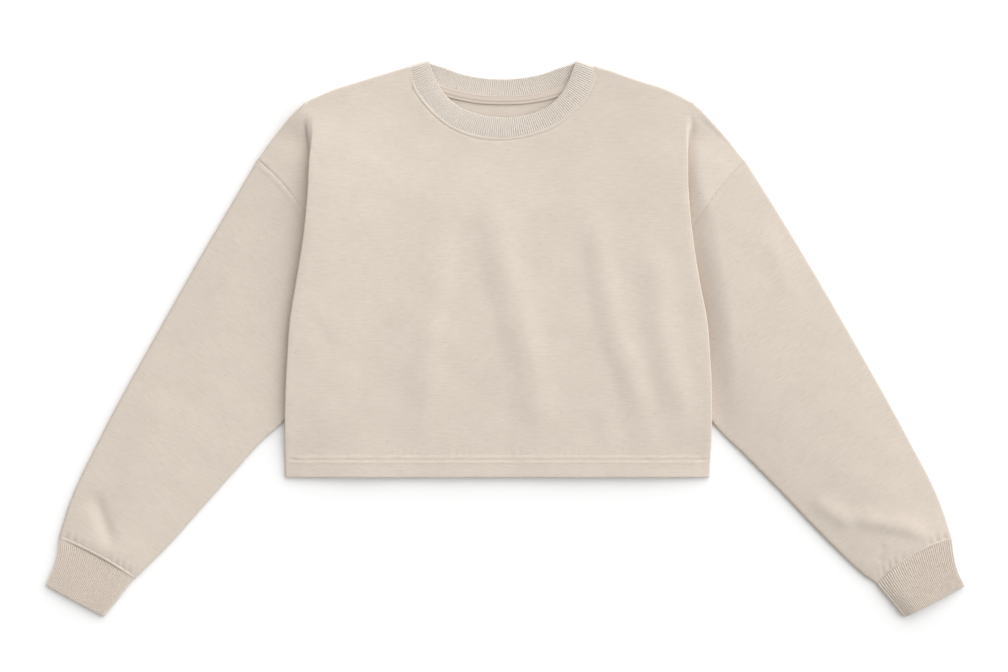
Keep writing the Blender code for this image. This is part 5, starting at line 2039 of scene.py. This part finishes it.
@dataclass(frozen=True)
class Studio:
    """The pale floor, the soft light and the camera straight above."""

    floor_size: float = 12.0
    floor_z: float = -0.0004
    floor_colour: tuple = (0.91, 0.91, 0.91, 1.0)
    floor_roughness: float = 0.9
    floor_specular: float = 0.1
    dome: float = 0.64           # brightness of the dome of light
    dome_slope: tuple = (0.40, 0.30, 0.0)  # how it brightens towards one side
    key: float = 2.02            # brightness of the large soft lamp in it
    key_from: tuple = (0.53, 0.58, 0.56)
    key_edge: tuple = (0.54, 0.97)  # cosines of the angles at which it fades out and is full
    dome_colour: tuple = (1.0, 0.998, 0.995, 1.0)
    centre: tuple = (-0.0010, 0.0027)
    width: float = 1.186         # of the view at the floor
    lens: float = 85.0
    sensor: float = 36.0

    def floor(self) -> None:
        """Lay the floor."""
        half = self.floor_size / 2
        mesh = bpy.data.meshes.new("studio_floor")
        corners = [(-half, -half), (half, -half), (half, half), (-half, half)]
        mesh.from_pydata([(x, y, self.floor_z) for x, y in corners], [], [(0, 1, 2, 3)])
        floor = bpy.data.objects.new("studio_floor", mesh)
        bpy.context.scene.collection.objects.link(floor)
        material = bpy.data.materials.new("studio_floor")
        material.use_nodes = True
        shader = material.node_tree.nodes["Principled BSDF"]
        shader.inputs["Base Color"].default_value = self.floor_colour
        shader.inputs["Roughness"].default_value = self.floor_roughness
        shader.inputs["Specular IOR Level"].default_value = self.floor_specular
        mesh.materials.append(material)

    def light(self) -> None:
        """Light the scene by a pale dome with a large soft lamp in it."""
        world = bpy.data.worlds.new("studio")
        world.use_nodes = True
        nodes = Sockets(world.node_tree)
        background = world.node_tree.nodes["Background"]
        direction = nodes.add("ShaderNodeTexCoord", {}).outputs["Generated"]
        towards = tuple(Vector(self.key_from).normalized())
        dot = nodes.add("ShaderNodeVectorMath", {0: direction, 1: towards}, operation="DOT_PRODUCT")
        lamp = nodes.add("ShaderNodeMapRange", {
            "Value": dot.outputs["Value"], "From Min": self.key_edge[0], "From Max": self.key_edge[1],
        }, interpolation_type="SMOOTHSTEP").outputs["Result"]
        side = nodes.add("ShaderNodeVectorMath", {0: direction, 1: self.dome_slope}, operation="DOT_PRODUCT")
        dome = nodes.math("MULTIPLY_ADD", side.outputs["Value"], self.dome, self.dome)
        nodes.link(nodes.math("MULTIPLY_ADD", lamp, self.key, dome), background.inputs["Strength"])
        background.inputs["Color"].default_value = self.dome_colour
        bpy.context.scene.world = world

    def camera(self) -> None:
        """Hang the camera over the middle of the garment."""
        data = bpy.data.cameras.new("overhead")
        data.lens = self.lens
        data.sensor_width = self.sensor
        data.clip_end = 50.0
        camera = bpy.data.objects.new("overhead", data)
        camera.location = (*self.centre, self.width * self.lens / self.sensor)
        bpy.context.scene.collection.objects.link(camera)
        bpy.context.scene.camera = camera

    def build(self) -> None:
        """Build floor, light and camera."""
        self.floor()
        self.light()
        self.camera()
        bpy.context.scene.view_settings.view_transform = "Standard"
        log.info("studio: floor, dome of light and overhead camera")


@dataclass(frozen=True)
class Cloth:
    """What a piece of cloth stands for, and how it was cut."""

    node: str
    slot: str
    flat: tuple                  # width and length of its cut
    area: float                  # of the cut
    rests_on: tuple = ()


CLOTHS = {
    "front_panel": Cloth("front", "body_knit", (0.585, 0.480), 0.240, ("back_panel", "sleeve_shell_left")),
    "back_panel": Cloth("back", "body_knit", (0.560, 0.482), 0.228),
    "sleeve_shell_left": Cloth("sleeve_left", "sleeve_knit", (0.420, 0.560), 0.142),
    "sleeve_shell_right": Cloth("sleeve_right", "sleeve_knit", (0.420, 0.560), 0.148),
    "cuff_shell_left": Cloth("cuff_left", "cuff_rib", (0.205, 0.060), 0.0116),
    "cuff_shell_right": Cloth("cuff_right", "cuff_rib", (0.205, 0.060), 0.0114),
    "collar_rib": Cloth("collar", "collar_rib", (0.540, 0.023), 0.0122, ("back_panel",)),
    "tape_strip": Cloth("neck_tape", "tape", (0.200, 0.010), 0.0020, ("back_panel", "collar_rib")),
}


def fit(piece: bpy.types.Object, stitches: Sequence) -> None:
    """Hide the part of model.glb that a piece of cloth stands for.

    Args:
        piece: The piece.
        stitches: Pieces of stitching on it; not used.
    """
    cloth = CLOTHS[piece.name]
    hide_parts(cloth.node)
    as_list(cloth.rests_on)


def main() -> None:
    """Build the studio, the finishes and every piece of the sweatshirt."""
    logging.basicConfig(level=logging.INFO, format="%(name)s: %(message)s")
    Studio().build()
    makers = {"marl_yarn": marl_group, "knit_loops": loops_group, "lint": lint_group, "twist": twist_group}
    groups = {name: make() for name, make in makers.items()}
    jersey, sleeve_jersey = JERSEY.material(groups), SLEEVE_JERSEY.material(groups)
    cuff_rib, collar_rib = CUFF_RIB.material(groups), COLLAR_RIB.material(groups)
    tape, thread = TAPE_TWILL.material(groups), THREAD.material(groups)
    front = Front().make(jersey)
    back = Back().make(jersey)
    sleeves = [Sleeve(side).make(sleeve_jersey) for side in Side]
    cuffs = [Cuff(side).make(cuff_rib) for side in Side]
    collar = Collar().make(collar_rib)
    tape_strip = NeckTape().make(tape)
    fit(front, [hem_stitches(thread), collar_stitches(thread)])
    fit(tape_strip, [tape_stitches(thread)])
    for piece in (back, *sleeves, *cuffs, collar):
        fit(piece, [])


if __name__ == "__main__":
    main()
